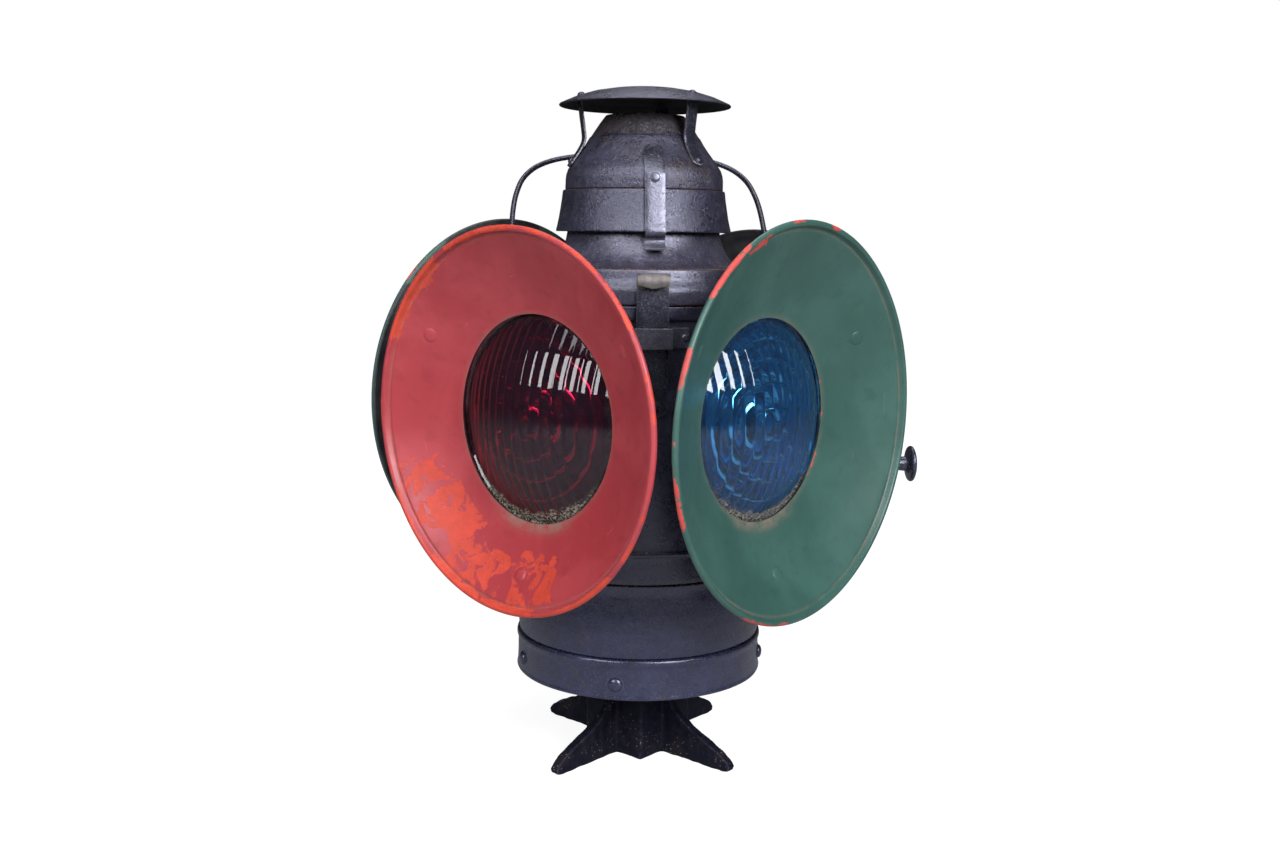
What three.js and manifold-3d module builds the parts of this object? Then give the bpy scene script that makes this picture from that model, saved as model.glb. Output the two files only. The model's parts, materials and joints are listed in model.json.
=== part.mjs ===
// Four-way railway switch lamp with day targets. Millimetres, +Z up, origin on the axis at the feet.
import * as THREE from "three";
import { mergeVertices } from "three/addons/utils/BufferGeometryUtils.js";
import Module from "manifold-3d";

const wasm = await Module();
wasm.setup();

// Driving dimensions
const GAP = 0.3; // clearance between touching pieces
const SEG = 32; // facets round the large sheet-metal shells
const FINE = 24; // facets round the smaller rings, lenses and the hood
const LENS_Z = 241.7; // height of the four lens axes
const LENS_R = 68.3; // lens flange radius
const BODY_R = 81; // outside radius of the lamp body
const SEAM_Z = 314.2; // height of the opening seam and of the top hinge
const HINGE_R = 88.5; // hinge axis, distance behind the lamp axis
const BAIL_Z = 320; // height of the bail pivots
const BAIL_V = 90; // half the width of the bail
const BAIL_L = 145; // pivot to crossbar
const BAIL_LEAN = 48; // degrees the bail leans back at rest
const WICK_Z = 201.6; // height of the wick key shaft
const SHAFT_U = -3; // sideways offset of the wick key shaft
const WICK_U = 2.4; // sideways offset of the wick
const RED = { open: 66.6, plane: 103.5, rim: 121.4, rimPlane: 129.7 };
const GREEN = { open: 65.4, plane: 103.8, rim: 126.8, rimPlane: 135.3 };
const FRONT = -45; // bearing of the latch, degrees about +Z from +X
const REAR = 135; // bearing of the hinge
const SIDE = 45; // bearing of the wick key and of one bail pivot

const rad = THREE.MathUtils.degToRad;
const group = new THREE.Group();
group.name = "switch_lamp";

// Colours, linear roughness and metalness of the finishes
const FINISH = {
  iron: [0x23242b, 0.62, 0.55],
  black: [0x26272f, 0.55, 0.5],
  worn: [0x5f5a54, 0.5, 0.7],
  red: [0xa3363f, 0.55, 0.05],
  green: [0x3f6e5c, 0.5, 0.05],
  redGlass: [0x2a0509, 0.08, 0.0],
  blueGlass: [0x1d5f94, 0.08, 0.0],
  felt: [0x4a443c, 0.95, 0.0],
  brass: [0x8a6d3a, 0.4, 0.9],
  tin: [0x6c6d70, 0.4, 0.85],
  wick: [0xcfc4ac, 0.95, 0.0],
};

function add(name, geometry, finish) {
  const [color, roughness, metalness] = FINISH[finish];
  const material = new THREE.MeshStandardMaterial({ color, roughness, metalness });
  geometry.computeVertexNormals();
  const mesh = new THREE.Mesh(geometry, material);
  mesh.name = name;
  group.add(mesh);
  return mesh;
}

// ---- solids -------------------------------------------------------------------------------------

function solid(geometry) {
  const g = geometry.clone();
  g.deleteAttribute("normal");
  g.deleteAttribute("uv");
  const merged = mergeVertices(g, 1e-4);
  const make = (tri) =>
    new wasm.Manifold(
      new wasm.Mesh({
        numProp: 3,
        vertProperties: new Float32Array(merged.attributes.position.array),
        triVerts: tri,
      }),
    );
  const tri = new Uint32Array(merged.index.array);
  const made = make(tri);
  if (made.volume() >= 0) return made;
  for (let i = 0; i < tri.length; i += 3) [tri[i + 1], tri[i + 2]] = [tri[i + 2], tri[i + 1]];
  return make(tri);
}

function geometryOf(manifold) {
  const m = manifold.getMesh();
  const n = m.numProp;
  const v = new Float32Array(m.numVert * 3);
  for (let i = 0; i < m.numVert; i++) v.set(m.vertProperties.subarray(i * n, i * n + 3), i * 3);
  return new THREE.BufferGeometry()
    .setAttribute("position", new THREE.BufferAttribute(v, 3))
    .setIndex(new THREE.BufferAttribute(new Uint32Array(m.triVerts), 1));
}

const union = (...parts) => geometryOf(parts.map(solid).reduce((a, b) => a.add(b)));
const cut = (part, ...tools) =>
  geometryOf(tools.map(solid).reduce((a, b) => a.subtract(b), solid(part)));

// Body of revolution about +Z from [radius, height] pairs; an open profile is closed on itself.
function lathe(profile, seg = SEG) {
  const pts = profile.map(([r, z]) => new THREE.Vector2(r, z));
  const onAxis = profile[0][0] === 0 && profile[profile.length - 1][0] === 0;
  if (!onAxis) pts.push(pts[0].clone());
  return geometryOf(solid(new THREE.LatheGeometry(pts, seg).rotateX(Math.PI / 2)));
}

// Cylinder from point a to point b.
function rod(a, b, r, seg = 12) {
  const from = new THREE.Vector3(...a);
  const to = new THREE.Vector3(...b);
  const g = new THREE.CylinderGeometry(r, r, from.distanceTo(to), seg);
  const turn = new THREE.Quaternion().setFromUnitVectors(
    new THREE.Vector3(0, 1, 0),
    to.clone().sub(from).normalize(),
  );
  return g.applyQuaternion(turn).translate(...from.add(to).multiplyScalar(0.5).toArray());
}

function box(x0, x1, y0, y1, z0, z1) {
  return new THREE.BoxGeometry(x1 - x0, y1 - y0, z1 - z0).translate(
    (x0 + x1) / 2,
    (y0 + y1) / 2,
    (z0 + z1) / 2,
  );
}

// Outline of a strip of thickness t that follows a path of [x, y] points.
function stripShape(path, t) {
  const p = path.map(([x, y]) => new THREE.Vector2(x, y));
  const left = [];
  const right = [];
  p.forEach((q, i) => {
    const a = (i ? q.clone().sub(p[i - 1]) : p[1].clone().sub(q)).normalize();
    const b = (i < p.length - 1 ? p[i + 1].clone().sub(q) : a.clone()).normalize();
    const n = new THREE.Vector2(-a.y - b.y, a.x + b.x).normalize();
    const k = t / 2 / Math.max(0.5, n.dot(new THREE.Vector2(-a.y, a.x)));
    left.push(q.clone().addScaledVector(n, k));
    right.unshift(q.clone().addScaledVector(n, -k));
  });
  return new THREE.Shape([...left, ...right]);
}

// Flat strip bent along a [radius, height] path, centred across the +X direction.
function strap(path, t, width) {
  return new THREE.ExtrudeGeometry(stripShape(path, t), { depth: width, bevelEnabled: false })
    .translate(0, 0, -width / 2)
    .rotateX(Math.PI / 2);
}

// Plate of a [radius, height] outline, centred across the +X direction.
function plate(outline, width) {
  const shape = new THREE.Shape(outline.map(([x, y]) => new THREE.Vector2(x, y)));
  return new THREE.ExtrudeGeometry(shape, { depth: width, bevelEnabled: false })
    .translate(0, 0, -width / 2)
    .rotateX(Math.PI / 2);
}

// Domed rivet head on the +X side at radius r and height z.
function rivetHead(r, z, radius, height) {
  const dome = lathe([[0, 0], [radius, 0], [radius * 0.75, height * 0.7], [0, height]], 10);
  return dome.rotateY(Math.PI / 2).translate(r, 0, z);
}

const turn = (geometry, degrees) => geometry.rotateZ(rad(degrees));
// From a profile whose height runs along a lens axis to that axis at the given bearing.
const face = (geometry, degrees) =>
  turn(geometry.rotateY(Math.PI / 2).translate(0, 0, LENS_Z), degrees);

// ---- base ---------------------------------------------------------------------------------------

const SOCKET = 26.3; // half the width of the square socket
const fin = [
  [20, 56], [SOCKET, 56], [30, 43], [35, 33.5], [42.6, 28], [50, 23.5], [63, 17.8], [75, 12.6],
  [82, 8], [85, 4.2], [84, 1], [80, 0], [20, 0],
];
const socketBlock = union(
  box(-SOCKET, SOCKET, -SOCKET, SOCKET, 0, 62),
  ...[0, 90, 180, 270].map((a) => turn(plate(fin, 7.5), a)),
);
add("mounting_socket", cut(socketBlock, box(-18.5, 18.5, -18.5, 18.5, -1, 54)), "iron");

add("base_plate", lathe([[0, 62.3], [81.9, 62.3], [81.9, 64.7], [0, 64.7]]), "black");

add(
  "base_band",
  lathe([
    [82.3, 60], [85.2, 60], [84.5, 63], [84.2, 80], [85.1, 82.5], [85, 85.2], [83.7, 86.8], [82.3, 86.8],
  ]),
  "black",
);
[-118, -59, 35, 94, 153].forEach((bearing, i) => {
  add(`base_rivet_${i + 1}`, turn(rivetHead(84.7, 70.5, 4.8, 2.2), bearing), "black");
});

add(
  "lower_drum",
  lathe([
    [80.4, 65], [82, 65], [82, 87.1], [83.6, 87.1], [83.9, 104], [82.2, 120],
    [81.2, 135.2], [79.6, 135.2], [80.6, 120], [82.2, 104], [82, 88.6],
  ]),
  "black",
);

// ---- lamp body with four lens openings ----------------------------------------------------------

const opening = () => face(lathe([[0, 60], [41.9, 60], [57, 81.4], [60, 86], [0, 86]], FINE), 0);
const openings = [0, 90, 180, 270].map((a) => turn(opening(), a));
const shell = lathe([
  [79.5, 135.5], [80.7, 135.5], [80.7, 153.6], [82.2, 154.2], [82.2, 156.6], [BODY_R, 157.4],
  [BODY_R, 304.6], [82.8, 306], [82.8, 313.9], [79.5, 313.9],
]);
const bushingHole = turn(rod([70, SHAFT_U, WICK_Z], [90, SHAFT_U, WICK_Z], 4.9), SIDE);
add("body_shell", cut(shell, ...openings, bushingHole), "black");

const HEADS = [
  { tag: "front_red", bearing: 270, target: RED, paint: "red", glass: "redGlass" },
  { tag: "right_green", bearing: 0, target: GREEN, paint: "green", glass: "blueGlass" },
  { tag: "rear_red", bearing: 90, target: RED, paint: "red", glass: "redGlass" },
  { tag: "left_green", bearing: 180, target: GREEN, paint: "green", glass: "blueGlass" },
];

for (const { tag, bearing, target, paint, glass } of HEADS) {
  const slope = (target.rimPlane - target.plane) / (target.rim - target.open);
  const backAt = (r) => target.plane - 1.6 + (r - target.open) * slope;

  // Tapered barrel: a saddle end on the body and a straight seat for the lens at the front.
  const barrel = face(
    lathe([
      [45.5, 62], [70.8, 97.5], [70.8, 101.3], [68.9, 101.3], [68.9, 95], [62, 95], [62, 93.4],
      [66.3, 93.4], [43.4, 61],
    ], FINE),
    0,
  );
  const saddle = lathe([[0, 160], [BODY_R + GAP, 160], [BODY_R + GAP, 320], [0, 320]]);
  add(`lens_barrel_${tag}`, turn(cut(barrel, saddle), bearing), "black");

  add(
    `lens_gasket_${tag}`,
    face(lathe([[62.4, 95.3], [68, 95.3], [68, 96.3], [62.4, 96.3]], 16), bearing),
    "felt",
  );

  add(
    `lens_${tag}`,
    face(
      lathe([
        [0, 122], [22, 119.8], [44, 113], [66, 100.9], [LENS_R, 100.9], [LENS_R, 96.6], [63, 96.6],
        [36, 106.4], [0, 110.8],
      ], FINE),
      bearing,
    ),
    glass,
  );

  // Dished day target with a rolled rim and a shallow groove inside it; three flush rivet heads.
  const at = (r) => target.plane + (r - target.open) * slope;
  const rimZ = target.rimPlane;
  const dish = lathe([
    [target.open, target.plane], [target.rim - 7, at(target.rim - 7)],
    [target.rim - 4.8, at(target.rim - 4.8) - 0.9], [target.rim - 2.6, rimZ],
    [target.rim, rimZ - 1.8], [target.rim - 1.6, rimZ - 4.6],
    [target.rim - 5.6, backAt(target.rim - 5.6) - 0.4], [target.open, target.plane - 1.6],
  ]);
  const headAt = (r, angle) =>
    rod([r, 0, at(r) - 1], [r - 0.45, 0, at(r) + 0.6], 4.6, 8).rotateZ(rad(angle));
  const ARMS = [0, 120, 240];
  add(
    `day_target_${tag}`,
    face(union(dish, ...ARMS.map((a) => headAt(98, a))), bearing),
    paint,
  );

  // Carrier behind the target: a ring round the barrel and three arms riveted to the dish.
  const tip = (r) => backAt(r) - 1.5;
  const arm = () => strap([[72.5, 92.2], [77, tip(77)], [88, tip(88)], [103, tip(103)]], 2, 10);
  const tail = (a) => rod([98.6, 0, tip(98) - 2.6], [98, 0, tip(98)], 3.6, 6).rotateZ(rad(a));
  const ring = lathe([[71.1, 90.5], [74, 90.5], [74, 95.6], [71.1, 95.6]], FINE);
  const inside = lathe([[0, 80], [71.1, 80], [71.1, 99], [0, 99]], FINE);
  add(
    `target_carrier_${tag}`,
    face(
      cut(union(ring, ...ARMS.flatMap((a) => [arm().rotateZ(rad(a)), tail(a)])), inside),
      bearing,
    ),
    "black",
  );
}

// ---- lamp inside the body -----------------------------------------------------------------------

add(
  "fount",
  lathe(
    [
      [0, 65], [66, 65], [68, 67], [68, 156], [64, 161], [24, 161], [16, 165], [14, 171], [12.6, 171],
      [12.6, 166], [23.6, 159.6], [63.4, 159.6], [66.6, 155.6], [66.6, 67.6], [65.6, 66.4], [0, 66.4],
    ],
    FINE,
  ),
  "tin",
);
add(
  "filler_cap",
  turn(lathe([[0, 161.3], [10, 161.3], [10, 168], [8, 170], [0, 170]], 16).translate(44, 0, 0), 215),
  "brass",
);

const wickTube = union(
  lathe([[0, 171.3], [15, 171.3], [15, 178], [20, 181], [20, 184], [9, 187], [0, 187]], 20),
  turn(box(WICK_U - 2.5, WICK_U + 2.5, -8.4, 8.4, 180, 222), REAR),
);
add(
  "burner",
  cut(
    wickTube,
    turn(box(WICK_U - 1.5, WICK_U + 1.5, -7.4, 7.4, 174, 230), REAR),
    turn(box(-12, WICK_U - 1.2, -6, 6, 195.5, 207.7), REAR),
  ),
  "brass",
);
add("wick", turn(box(WICK_U - 1.2, WICK_U + 1.2, -7, 7, 183, 228), REAR), "wick");

// The key shaft runs along the side bearing; there, sideways is the rear bearing.
const star = new THREE.Shape(
  Array.from({ length: 16 }, (_, i) => {
    const r = i % 2 ? 3.0 : 3.8;
    return new THREE.Vector2(r * Math.cos(rad(i * 22.5)), r * Math.sin(rad(i * 22.5)));
  }),
);
const starWheel = new THREE.ExtrudeGeometry(star, { depth: 4, bevelEnabled: false })
  .translate(0, 0, -2)
  .rotateY(Math.PI / 2)
  .translate(0, SHAFT_U, WICK_Z);
add(
  "wick_wheel",
  turn(cut(starWheel, rod([-5, SHAFT_U, WICK_Z], [5, SHAFT_U, WICK_Z], 2.3, 10)), SIDE),
  "brass",
);
add("wick_shaft", turn(rod([-3.5, SHAFT_U, WICK_Z], [173.7, SHAFT_U, WICK_Z], 2, 10), SIDE), "iron");
add(
  "wick_knob",
  turn(
    lathe([[0, 174], [4.4, 174], [5, 176], [5, 187], [12.4, 187.6], [13.3, 189.4], [11, 191.6], [0, 192.3]], 20)
      .rotateY(Math.PI / 2)
      .translate(0, SHAFT_U, WICK_Z),
    SIDE,
  ),
  "iron",
);
add(
  "shaft_bushing",
  turn(
    lathe([[2.4, 74], [4.5, 74], [4.5, 81.4], [8, 81.4], [8, 83.2], [2.4, 83.2]], 14)
      .rotateY(Math.PI / 2)
      .translate(0, SHAFT_U, WICK_Z),
    SIDE,
  ),
  "iron",
);

// ---- latch --------------------------------------------------------------------------------------

const leafPath = [
  [82.3, 243], [82.3, 262], [85.3, 292], [86, 304], [86.2, 329], [88.2, 333.4], [91.2, 333.2],
  [92.4, 330], [92, 325.6],
];
add("latch_leaf", turn(strap(leafPath, 1.8, 20), FRONT), "black");
add("latch_rivet", turn(rivetHead(83.5, 250, 5.6, 2.4), FRONT), "black");

const TAB = 16.6; // half the angle the bracket tabs reach round the body
const tabPoint = (a) => [82.7 * Math.cos(rad(a)), 82.7 * Math.sin(rad(a))];
const bracketPath = [
  tabPoint(-TAB), tabPoint(-13), [81.2, -12.4], [90.6, -11.8], [90.6, 11.8], [81.2, 12.4],
  tabPoint(13), tabPoint(TAB),
];
const bracket = new THREE.ExtrudeGeometry(stripShape(bracketPath, 1.6), {
  depth: 13,
  bevelEnabled: false,
}).translate(0, 0, 288);
const tabRivet = (a) => turn(rivetHead(83.2, 294.5, 2.6, 1.4), a);
add("latch_bracket", turn(union(bracket, tabRivet(-TAB + 2), tabRivet(TAB - 2)), FRONT), "black");

// ---- top section, hinged at the rear ------------------------------------------------------------

add(
  "top_shell",
  lathe([
    [83.2, 314.5], [84.2, 318], [84.2, 323.5], [80.8, 330], [80, 337], [64, 338.8],
    [56.2, 345.4], [52.6, 353.5], [51.5, 360], [49.9, 397.4], [48.5, 397.4],
    [49.9, 360], [54.6, 344.4], [63.3, 337], [78.4, 335.4], [82.6, 323], [81.6, 314.5],
  ]),
  "black",
);
add(
  "draft_cone",
  lathe([[49.2, 360.3], [37, 374], [36, 396], [34.6, 396], [35.6, 373.4], [47.8, 359.7]], 20),
  "tin",
);

const knuckle = (y0, y1) => rod([HINGE_R, y0, SEAM_Z], [HINGE_R, y1, SEAM_Z], 3.6, 14);
const pinBore = rod([HINGE_R, -20, SEAM_Z], [HINGE_R, 20, SEAM_Z], 1.95, 12);
const lowerLeaf = union(
  strap([[82.2, 286], [82.2, 302], [84.2, 305], [84.2, 309.8]], 1.6, 28),
  strap([[84.2, 307], [84.4, 310], [87, 313]], 1.6, 7.5).translate(0, 10.2, 0),
  strap([[84.2, 307], [84.4, 310], [87, 313]], 1.6, 7.5).translate(0, -10.2, 0),
  knuckle(6.3, 14),
  knuckle(-14, -6.3),
);
add("hinge_leaf_lower", turn(cut(lowerLeaf, pinBore), REAR), "iron");
const upperLeaf = union(
  box(84.7, 86.3, -14, 14, 318.8, 328.5),
  strap([[85.5, 322], [85.6, 318], [87.4, 315.6]], 1.6, 11),
  knuckle(-5.9, 5.9),
);
add("hinge_leaf_upper", turn(cut(upperLeaf, pinBore), REAR), "iron");
add("hinge_pin", turn(rod([HINGE_R, -16, SEAM_Z], [HINGE_R, 16, SEAM_Z], 1.6, 12), REAR), "iron");

[["right", SIDE], ["left", SIDE + 180]].forEach(([tag, bearing]) => {
  const ear = union(box(84.6, 86.2, -6.5, 6.5, 314.8, 328), rod([85, 0, BAIL_Z], [87.5, 0, BAIL_Z], 4.6, 14));
  const bore = rod([80, 0, BAIL_Z], [92, 0, BAIL_Z], 2.35, 12);
  add(`bail_ear_${tag}`, turn(cut(ear, bore), bearing), "iron");
});

// ---- bail ---------------------------------------------------------------------------------------

const half = [
  [BAIL_V, 0], [BAIL_V, 34], [89.7, 64], [88.8, 85], [87, 102], [82.2, 117], [73.9, 129], [54.4, 140],
  [28, 144],
];
const arch = [...half, [0, BAIL_L], ...half.map(([w, l]) => [-w, l]).reverse()];
const curve = new THREE.CatmullRomCurve3(
  arch.map(([w, l]) => new THREE.Vector3(w, l, 0)),
  false,
  "centripetal",
);
const round = new THREE.Shape(
  Array.from({ length: 6 }, (_, i) => new THREE.Vector2(1.95, 0).rotateAround(new THREE.Vector2(), rad(i * 60))),
);
const wire = new THREE.ExtrudeGeometry(round, { steps: 40, extrudePath: curve, bevelEnabled: false });
const bail = union(
  wire,
  rod([85.4, 0, 0], [BAIL_V + 1.9, 0, 0], 1.95, 10),
  rod([-85.4, 0, 0], [-BAIL_V - 1.9, 0, 0], 1.95, 10),
);
// In-plane width runs along the side bearing and in-plane length leans back from vertical.
bail.rotateX(Math.PI / 2 - rad(BAIL_LEAN));
add("bail", turn(bail.translate(0, 0, BAIL_Z), SIDE), "iron");

// ---- hood with smoke cap ------------------------------------------------------------------------

add(
  "hood_skirt",
  lathe([
    [57.7, 359.7], [59.2, 359.7], [56.9, 370], [54.6, 387.1], [53.1, 387.1], [55.4, 370],
  ]),
  "black",
);
add(
  "hood_dome",
  lathe([
    [53.2, 387.4], [53, 396], [50.2, 402.3], [43, 412], [37, 422], [26, 436.4], [24.8, 435.4],
    [35.7, 421], [41.8, 411], [49, 401.2], [51.4, 395.6], [51.7, 387.4],
  ]),
  "black",
);
const strutPath = [[51.9, 402.1], [44.8, 412.4], [41.4, 419.5], [42, 427], [43.6, 440], [44, 446.6]];
const strutFoot = rivetHead(0, 0, 2.5, 1.5).rotateY(-rad(34.6)).translate(50, 0, 406.1);
[-125, -5, 115].forEach((bearing, i) => {
  add(`cap_strut_${i + 1}`, turn(union(strap(strutPath, 2, 9.5), strutFoot.clone()), bearing), "iron");
});
const capRivets = [-125, -5, 115].map((a) =>
  turn(lathe([[0, 447.6], [2.6, 447.6], [1.9, 450.6], [0, 451]], 8).translate(43.6, 0, 0), a),
);
add(
  "smoke_cap",
  union(
    lathe([
      [0, 454.9], [22, 453.8], [42, 449.9], [57.65, 443.5], [57.3, 442.2], [42, 448.4],
      [22, 452.2], [0, 453.3],
    ]),
    ...capRivets,
  ),
  "black",
);
const catchPath = [
  [41.9, 415.6], [44.6, 412.1], [48.3, 407.8], [51.8, 402.4], [54.6, 396.6], [55.8, 388.6], [56.7, 382],
  [57.9, 374], [59.4, 366], [60.9, 360.8], [60.7, 358.4], [57.3, 356.2], [57, 354], [60.8, 348.4],
];
add("hood_catch", turn(strap(catchPath, 1.5, 13), FRONT + 3), "iron");
const catchRivet = rivetHead(0, 0, 3.6, 1.4).rotateY(-rad(8.5)).translate(56.1, 0, 394.2);
add("hood_catch_rivet", turn(catchRivet, FRONT + 3), "iron");

export default group;
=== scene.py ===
import bpy
import bmesh
import json
import math
import numpy as np
from mathutils import Matrix, Vector


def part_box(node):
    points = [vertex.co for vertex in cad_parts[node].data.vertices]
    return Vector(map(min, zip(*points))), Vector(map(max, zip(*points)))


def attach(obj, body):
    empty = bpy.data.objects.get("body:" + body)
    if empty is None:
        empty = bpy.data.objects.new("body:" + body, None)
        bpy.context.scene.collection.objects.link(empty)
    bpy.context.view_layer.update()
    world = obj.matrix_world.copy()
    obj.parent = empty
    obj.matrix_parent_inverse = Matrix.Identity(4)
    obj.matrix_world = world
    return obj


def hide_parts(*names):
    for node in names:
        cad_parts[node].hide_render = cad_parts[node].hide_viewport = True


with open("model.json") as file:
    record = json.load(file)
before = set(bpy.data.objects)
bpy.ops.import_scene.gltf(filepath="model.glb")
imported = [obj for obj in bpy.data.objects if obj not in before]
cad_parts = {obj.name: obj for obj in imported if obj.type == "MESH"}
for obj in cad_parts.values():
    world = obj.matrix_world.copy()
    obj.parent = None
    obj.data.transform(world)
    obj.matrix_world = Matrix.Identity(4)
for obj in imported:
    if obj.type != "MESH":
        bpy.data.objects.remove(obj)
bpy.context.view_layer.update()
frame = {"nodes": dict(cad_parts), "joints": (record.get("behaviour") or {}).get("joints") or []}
MM = 0.001
TAU = 2 * math.pi


# ---------------------------------------------------------------- places read from the CAD, in mm
def mm_box(node):
    """Corners of a CAD node's box, in mm."""
    lo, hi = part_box(node)
    return [v / MM for v in lo], [v / MM for v in hi]


def z_of(node):
    lo, hi = mm_box(node)
    return lo[2], hi[2]


def half(node):
    lo, hi = mm_box(node)
    return max(hi[0] - lo[0], hi[1] - lo[1]) / 2


LENS_Z = sum(z_of("lens_front_red")) / 2
BAND_Z0, BAND_Z1 = z_of("base_band")
SHELL_Z0, SHELL_Z1 = z_of("body_shell")
TOP_Z0, TOP_Z1 = z_of("top_shell")
SKIRT_Z0, SKIRT_Z1 = z_of("hood_skirt")
DOME_Z0, DOME_Z1 = z_of("hood_dome")
CAP_Z0, CAP_Z1 = z_of("smoke_cap")
joint_at = {j["name"]: [v / MM for v in j.get("pos_m", (0, 0, 0))] for j in frame["joints"]}
BAIL_Z = joint_at["bail_swing"][2]
SEAM_Z = joint_at["top_hinge"][2]
HINGE_R = math.hypot(*joint_at["top_hinge"][:2])
WICK_Z = joint_at["wick_turn"][2]
SHAFT_U = -math.hypot(*joint_at["wick_turn"][:2])
FRONT, REAR, SIDE = -45.0, 135.0, 45.0


# ---------------------------------------------------------------- small maths
def wob(p, size, seed, waves=14):
    """Smooth wandering value between about -1 and 1 at points p (mm), features about size mm."""
    rng = np.random.RandomState(seed)
    k = rng.normal(size=(waves, 3))
    k /= np.linalg.norm(k, axis=1)[:, None]
    k *= (TAU / size) * rng.uniform(0.5, 1.3, (waves, 1))
    ph = rng.uniform(0, TAU, waves)
    return np.sin(np.asarray(p) @ k.T + ph).sum(1) / math.sqrt(waves) * 0.75


def smooth(x, a, b):
    t = np.clip((np.asarray(x, float) - a) / (b - a), 0, 1)
    return t * t * (3 - 2 * t)


def fillet(pts, r, closed=True, n=3):
    """The outline with its corners rounded to about r."""
    out, m = [], len(pts)
    for i, q in enumerate(pts):
        if not closed and i in (0, m - 1):
            out.append(tuple(q))
            continue
        a, b, c = (np.array(pts[(i + k) % m], float) for k in (-1, 0, 1))
        u, v = a - b, c - b
        lu, lv = np.linalg.norm(u), np.linalg.norm(v)
        if lu < 1e-6 or lv < 1e-6 or (u @ v) / (lu * lv) < -0.985:
            out.append(tuple(b))
            continue
        d = min(r, 0.42 * lu, 0.42 * lv)
        p0, p2 = b + u / lu * d, b + v / lv * d
        for k in range(n + 1):
            t = k / n
            out.append(tuple((1 - t) ** 2 * p0 + 2 * t * (1 - t) * b + t * t * p2))
    return out


def dense(pts, step, closed=True):
    """The outline with points added so that no edge is longer than step."""
    out, m = [], len(pts)
    for i in range(m if closed else m - 1):
        a, b = np.array(pts[i], float), np.array(pts[(i + 1) % m], float)
        k = max(1, int(math.ceil(np.linalg.norm(b - a) / step)))
        out += [tuple(a + (b - a) * t / k) for t in range(k)]
    if not closed:
        out.append(tuple(pts[-1]))
    return out


def turn_z(deg):
    return Matrix.Rotation(math.radians(deg), 4, "Z")


def turn_y(deg):
    return Matrix.Rotation(math.radians(deg), 4, "Y")


def shift(x, y, z):
    return Matrix.Translation((x, y, z))


def face_matrix(bearing):
    """Takes a profile spun about +Z to the lens axis at this bearing."""
    return turn_z(bearing) @ shift(0, 0, LENS_Z) @ turn_y(90)


# ---------------------------------------------------------------- mesh making
def placed(name, data):
    """A new object in the scene."""
    ob = bpy.data.objects.new(name, data)
    bpy.context.scene.collection.objects.link(ob)
    return ob


def per_vertex(mesh, what):
    """The co or normal of every vertex, one row each."""
    flat = np.zeros(len(mesh.vertices) * 3)
    mesh.vertices.foreach_get(what, flat)
    return flat.reshape(-1, 3)


def build(name, verts, faces, body, mats, replaces=(), matrix=None, mat_ids=None, sharp=38):
    """A mesh object from points in mm, riding on a body and standing in for the nodes in replaces."""
    v = np.asarray(verts, float)
    if matrix is not None:
        a = np.array(matrix)
        v = v @ a[:3, :3].T + a[:3, 3]
    me = bpy.data.meshes.new(name)
    me.from_pydata((v * MM).tolist(), [], faces)
    for m in mats if isinstance(mats, (list, tuple)) else [mats]:
        me.materials.append(m)
    if mat_ids is not None:
        me.polygons.foreach_set("material_index", mat_ids)
    bm = bmesh.new()
    bm.from_mesh(me)
    bmesh.ops.remove_doubles(bm, verts=bm.verts, dist=2e-6)
    bmesh.ops.dissolve_degenerate(bm, edges=bm.edges, dist=1e-7)
    bmesh.ops.recalc_face_normals(bm, faces=bm.faces)
    if bm.calc_volume(signed=True) < 0:
        bmesh.ops.reverse_faces(bm, faces=bm.faces)
    bm.to_mesh(me)
    bm.free()
    me.polygons.foreach_set("use_smooth", [True] * len(me.polygons))
    me.set_sharp_from_angle(angle=math.radians(sharp))
    ob = placed(name, me)
    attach(ob, body)
    if replaces:
        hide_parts(*([replaces] if isinstance(replaces, str) else replaces))
    return ob


def spin_grid(profile, seg, warp=None):
    """Vertices and quads of a closed profile of (radius, height) spun about +Z."""
    prof = np.array(profile, float)
    m = len(prof)
    ang = np.arange(seg) * TAU / seg
    r, z = prof[:, 0], prof[:, 1]
    v = np.stack([np.outer(np.cos(ang), r), np.outer(np.sin(ang), r), np.tile(z, (seg, 1))], 2)
    v = v.reshape(-1, 3)
    if warp is not None:
        v = warp(v)
    i = np.arange(seg)[:, None]
    j = np.arange(m)[None, :]
    a = (i * m + j).ravel()
    b = (((i + 1) % seg) * m + j).ravel()
    c = (((i + 1) % seg) * m + (j + 1) % m).ravel()
    d = (i * m + (j + 1) % m).ravel()
    return v, np.stack([a, b, c, d], 1).tolist()


def inward(amount, size, seed):
    """Shallow dents: radii shrink by up to amount mm, so a shell stays inside its size."""
    def warp(v):
        r = np.hypot(v[:, 0], v[:, 1])
        k = 1 - amount * (0.5 + 0.5 * wob(v, size, seed)).clip(0, 1) / np.maximum(r, 1)
        out = v.copy()
        out[:, 0] *= k
        out[:, 1] *= k
        return out
    return warp


def open_axis(faces, m):
    """Leaves out the faces that join a profile's two ends, both on the axis; m points to a profile."""
    return [q for q in faces if q[0] % m != m - 1]


def revolve(name, profile, body, mats, replaces, seg=160, rnd=0.5, step=4, dents=(0.35, 38),
            matrix=None, seed=1, sharp=38):
    """A sheet-metal shell: the profile rounded, spun about +Z and a little dented."""
    on_axis = profile[0][0] == 0 and profile[-1][0] == 0
    pts = fillet(profile, rnd, closed=not on_axis)
    pts = dense(pts, step, closed=not on_axis)
    warp = inward(dents[0], dents[1], seed) if dents else None
    v, f = spin_grid(pts, seg, warp)
    if on_axis:
        f = open_axis(f, len(pts))
    return build(name, v, f, body, mats, replaces, matrix, sharp=sharp)


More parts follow.
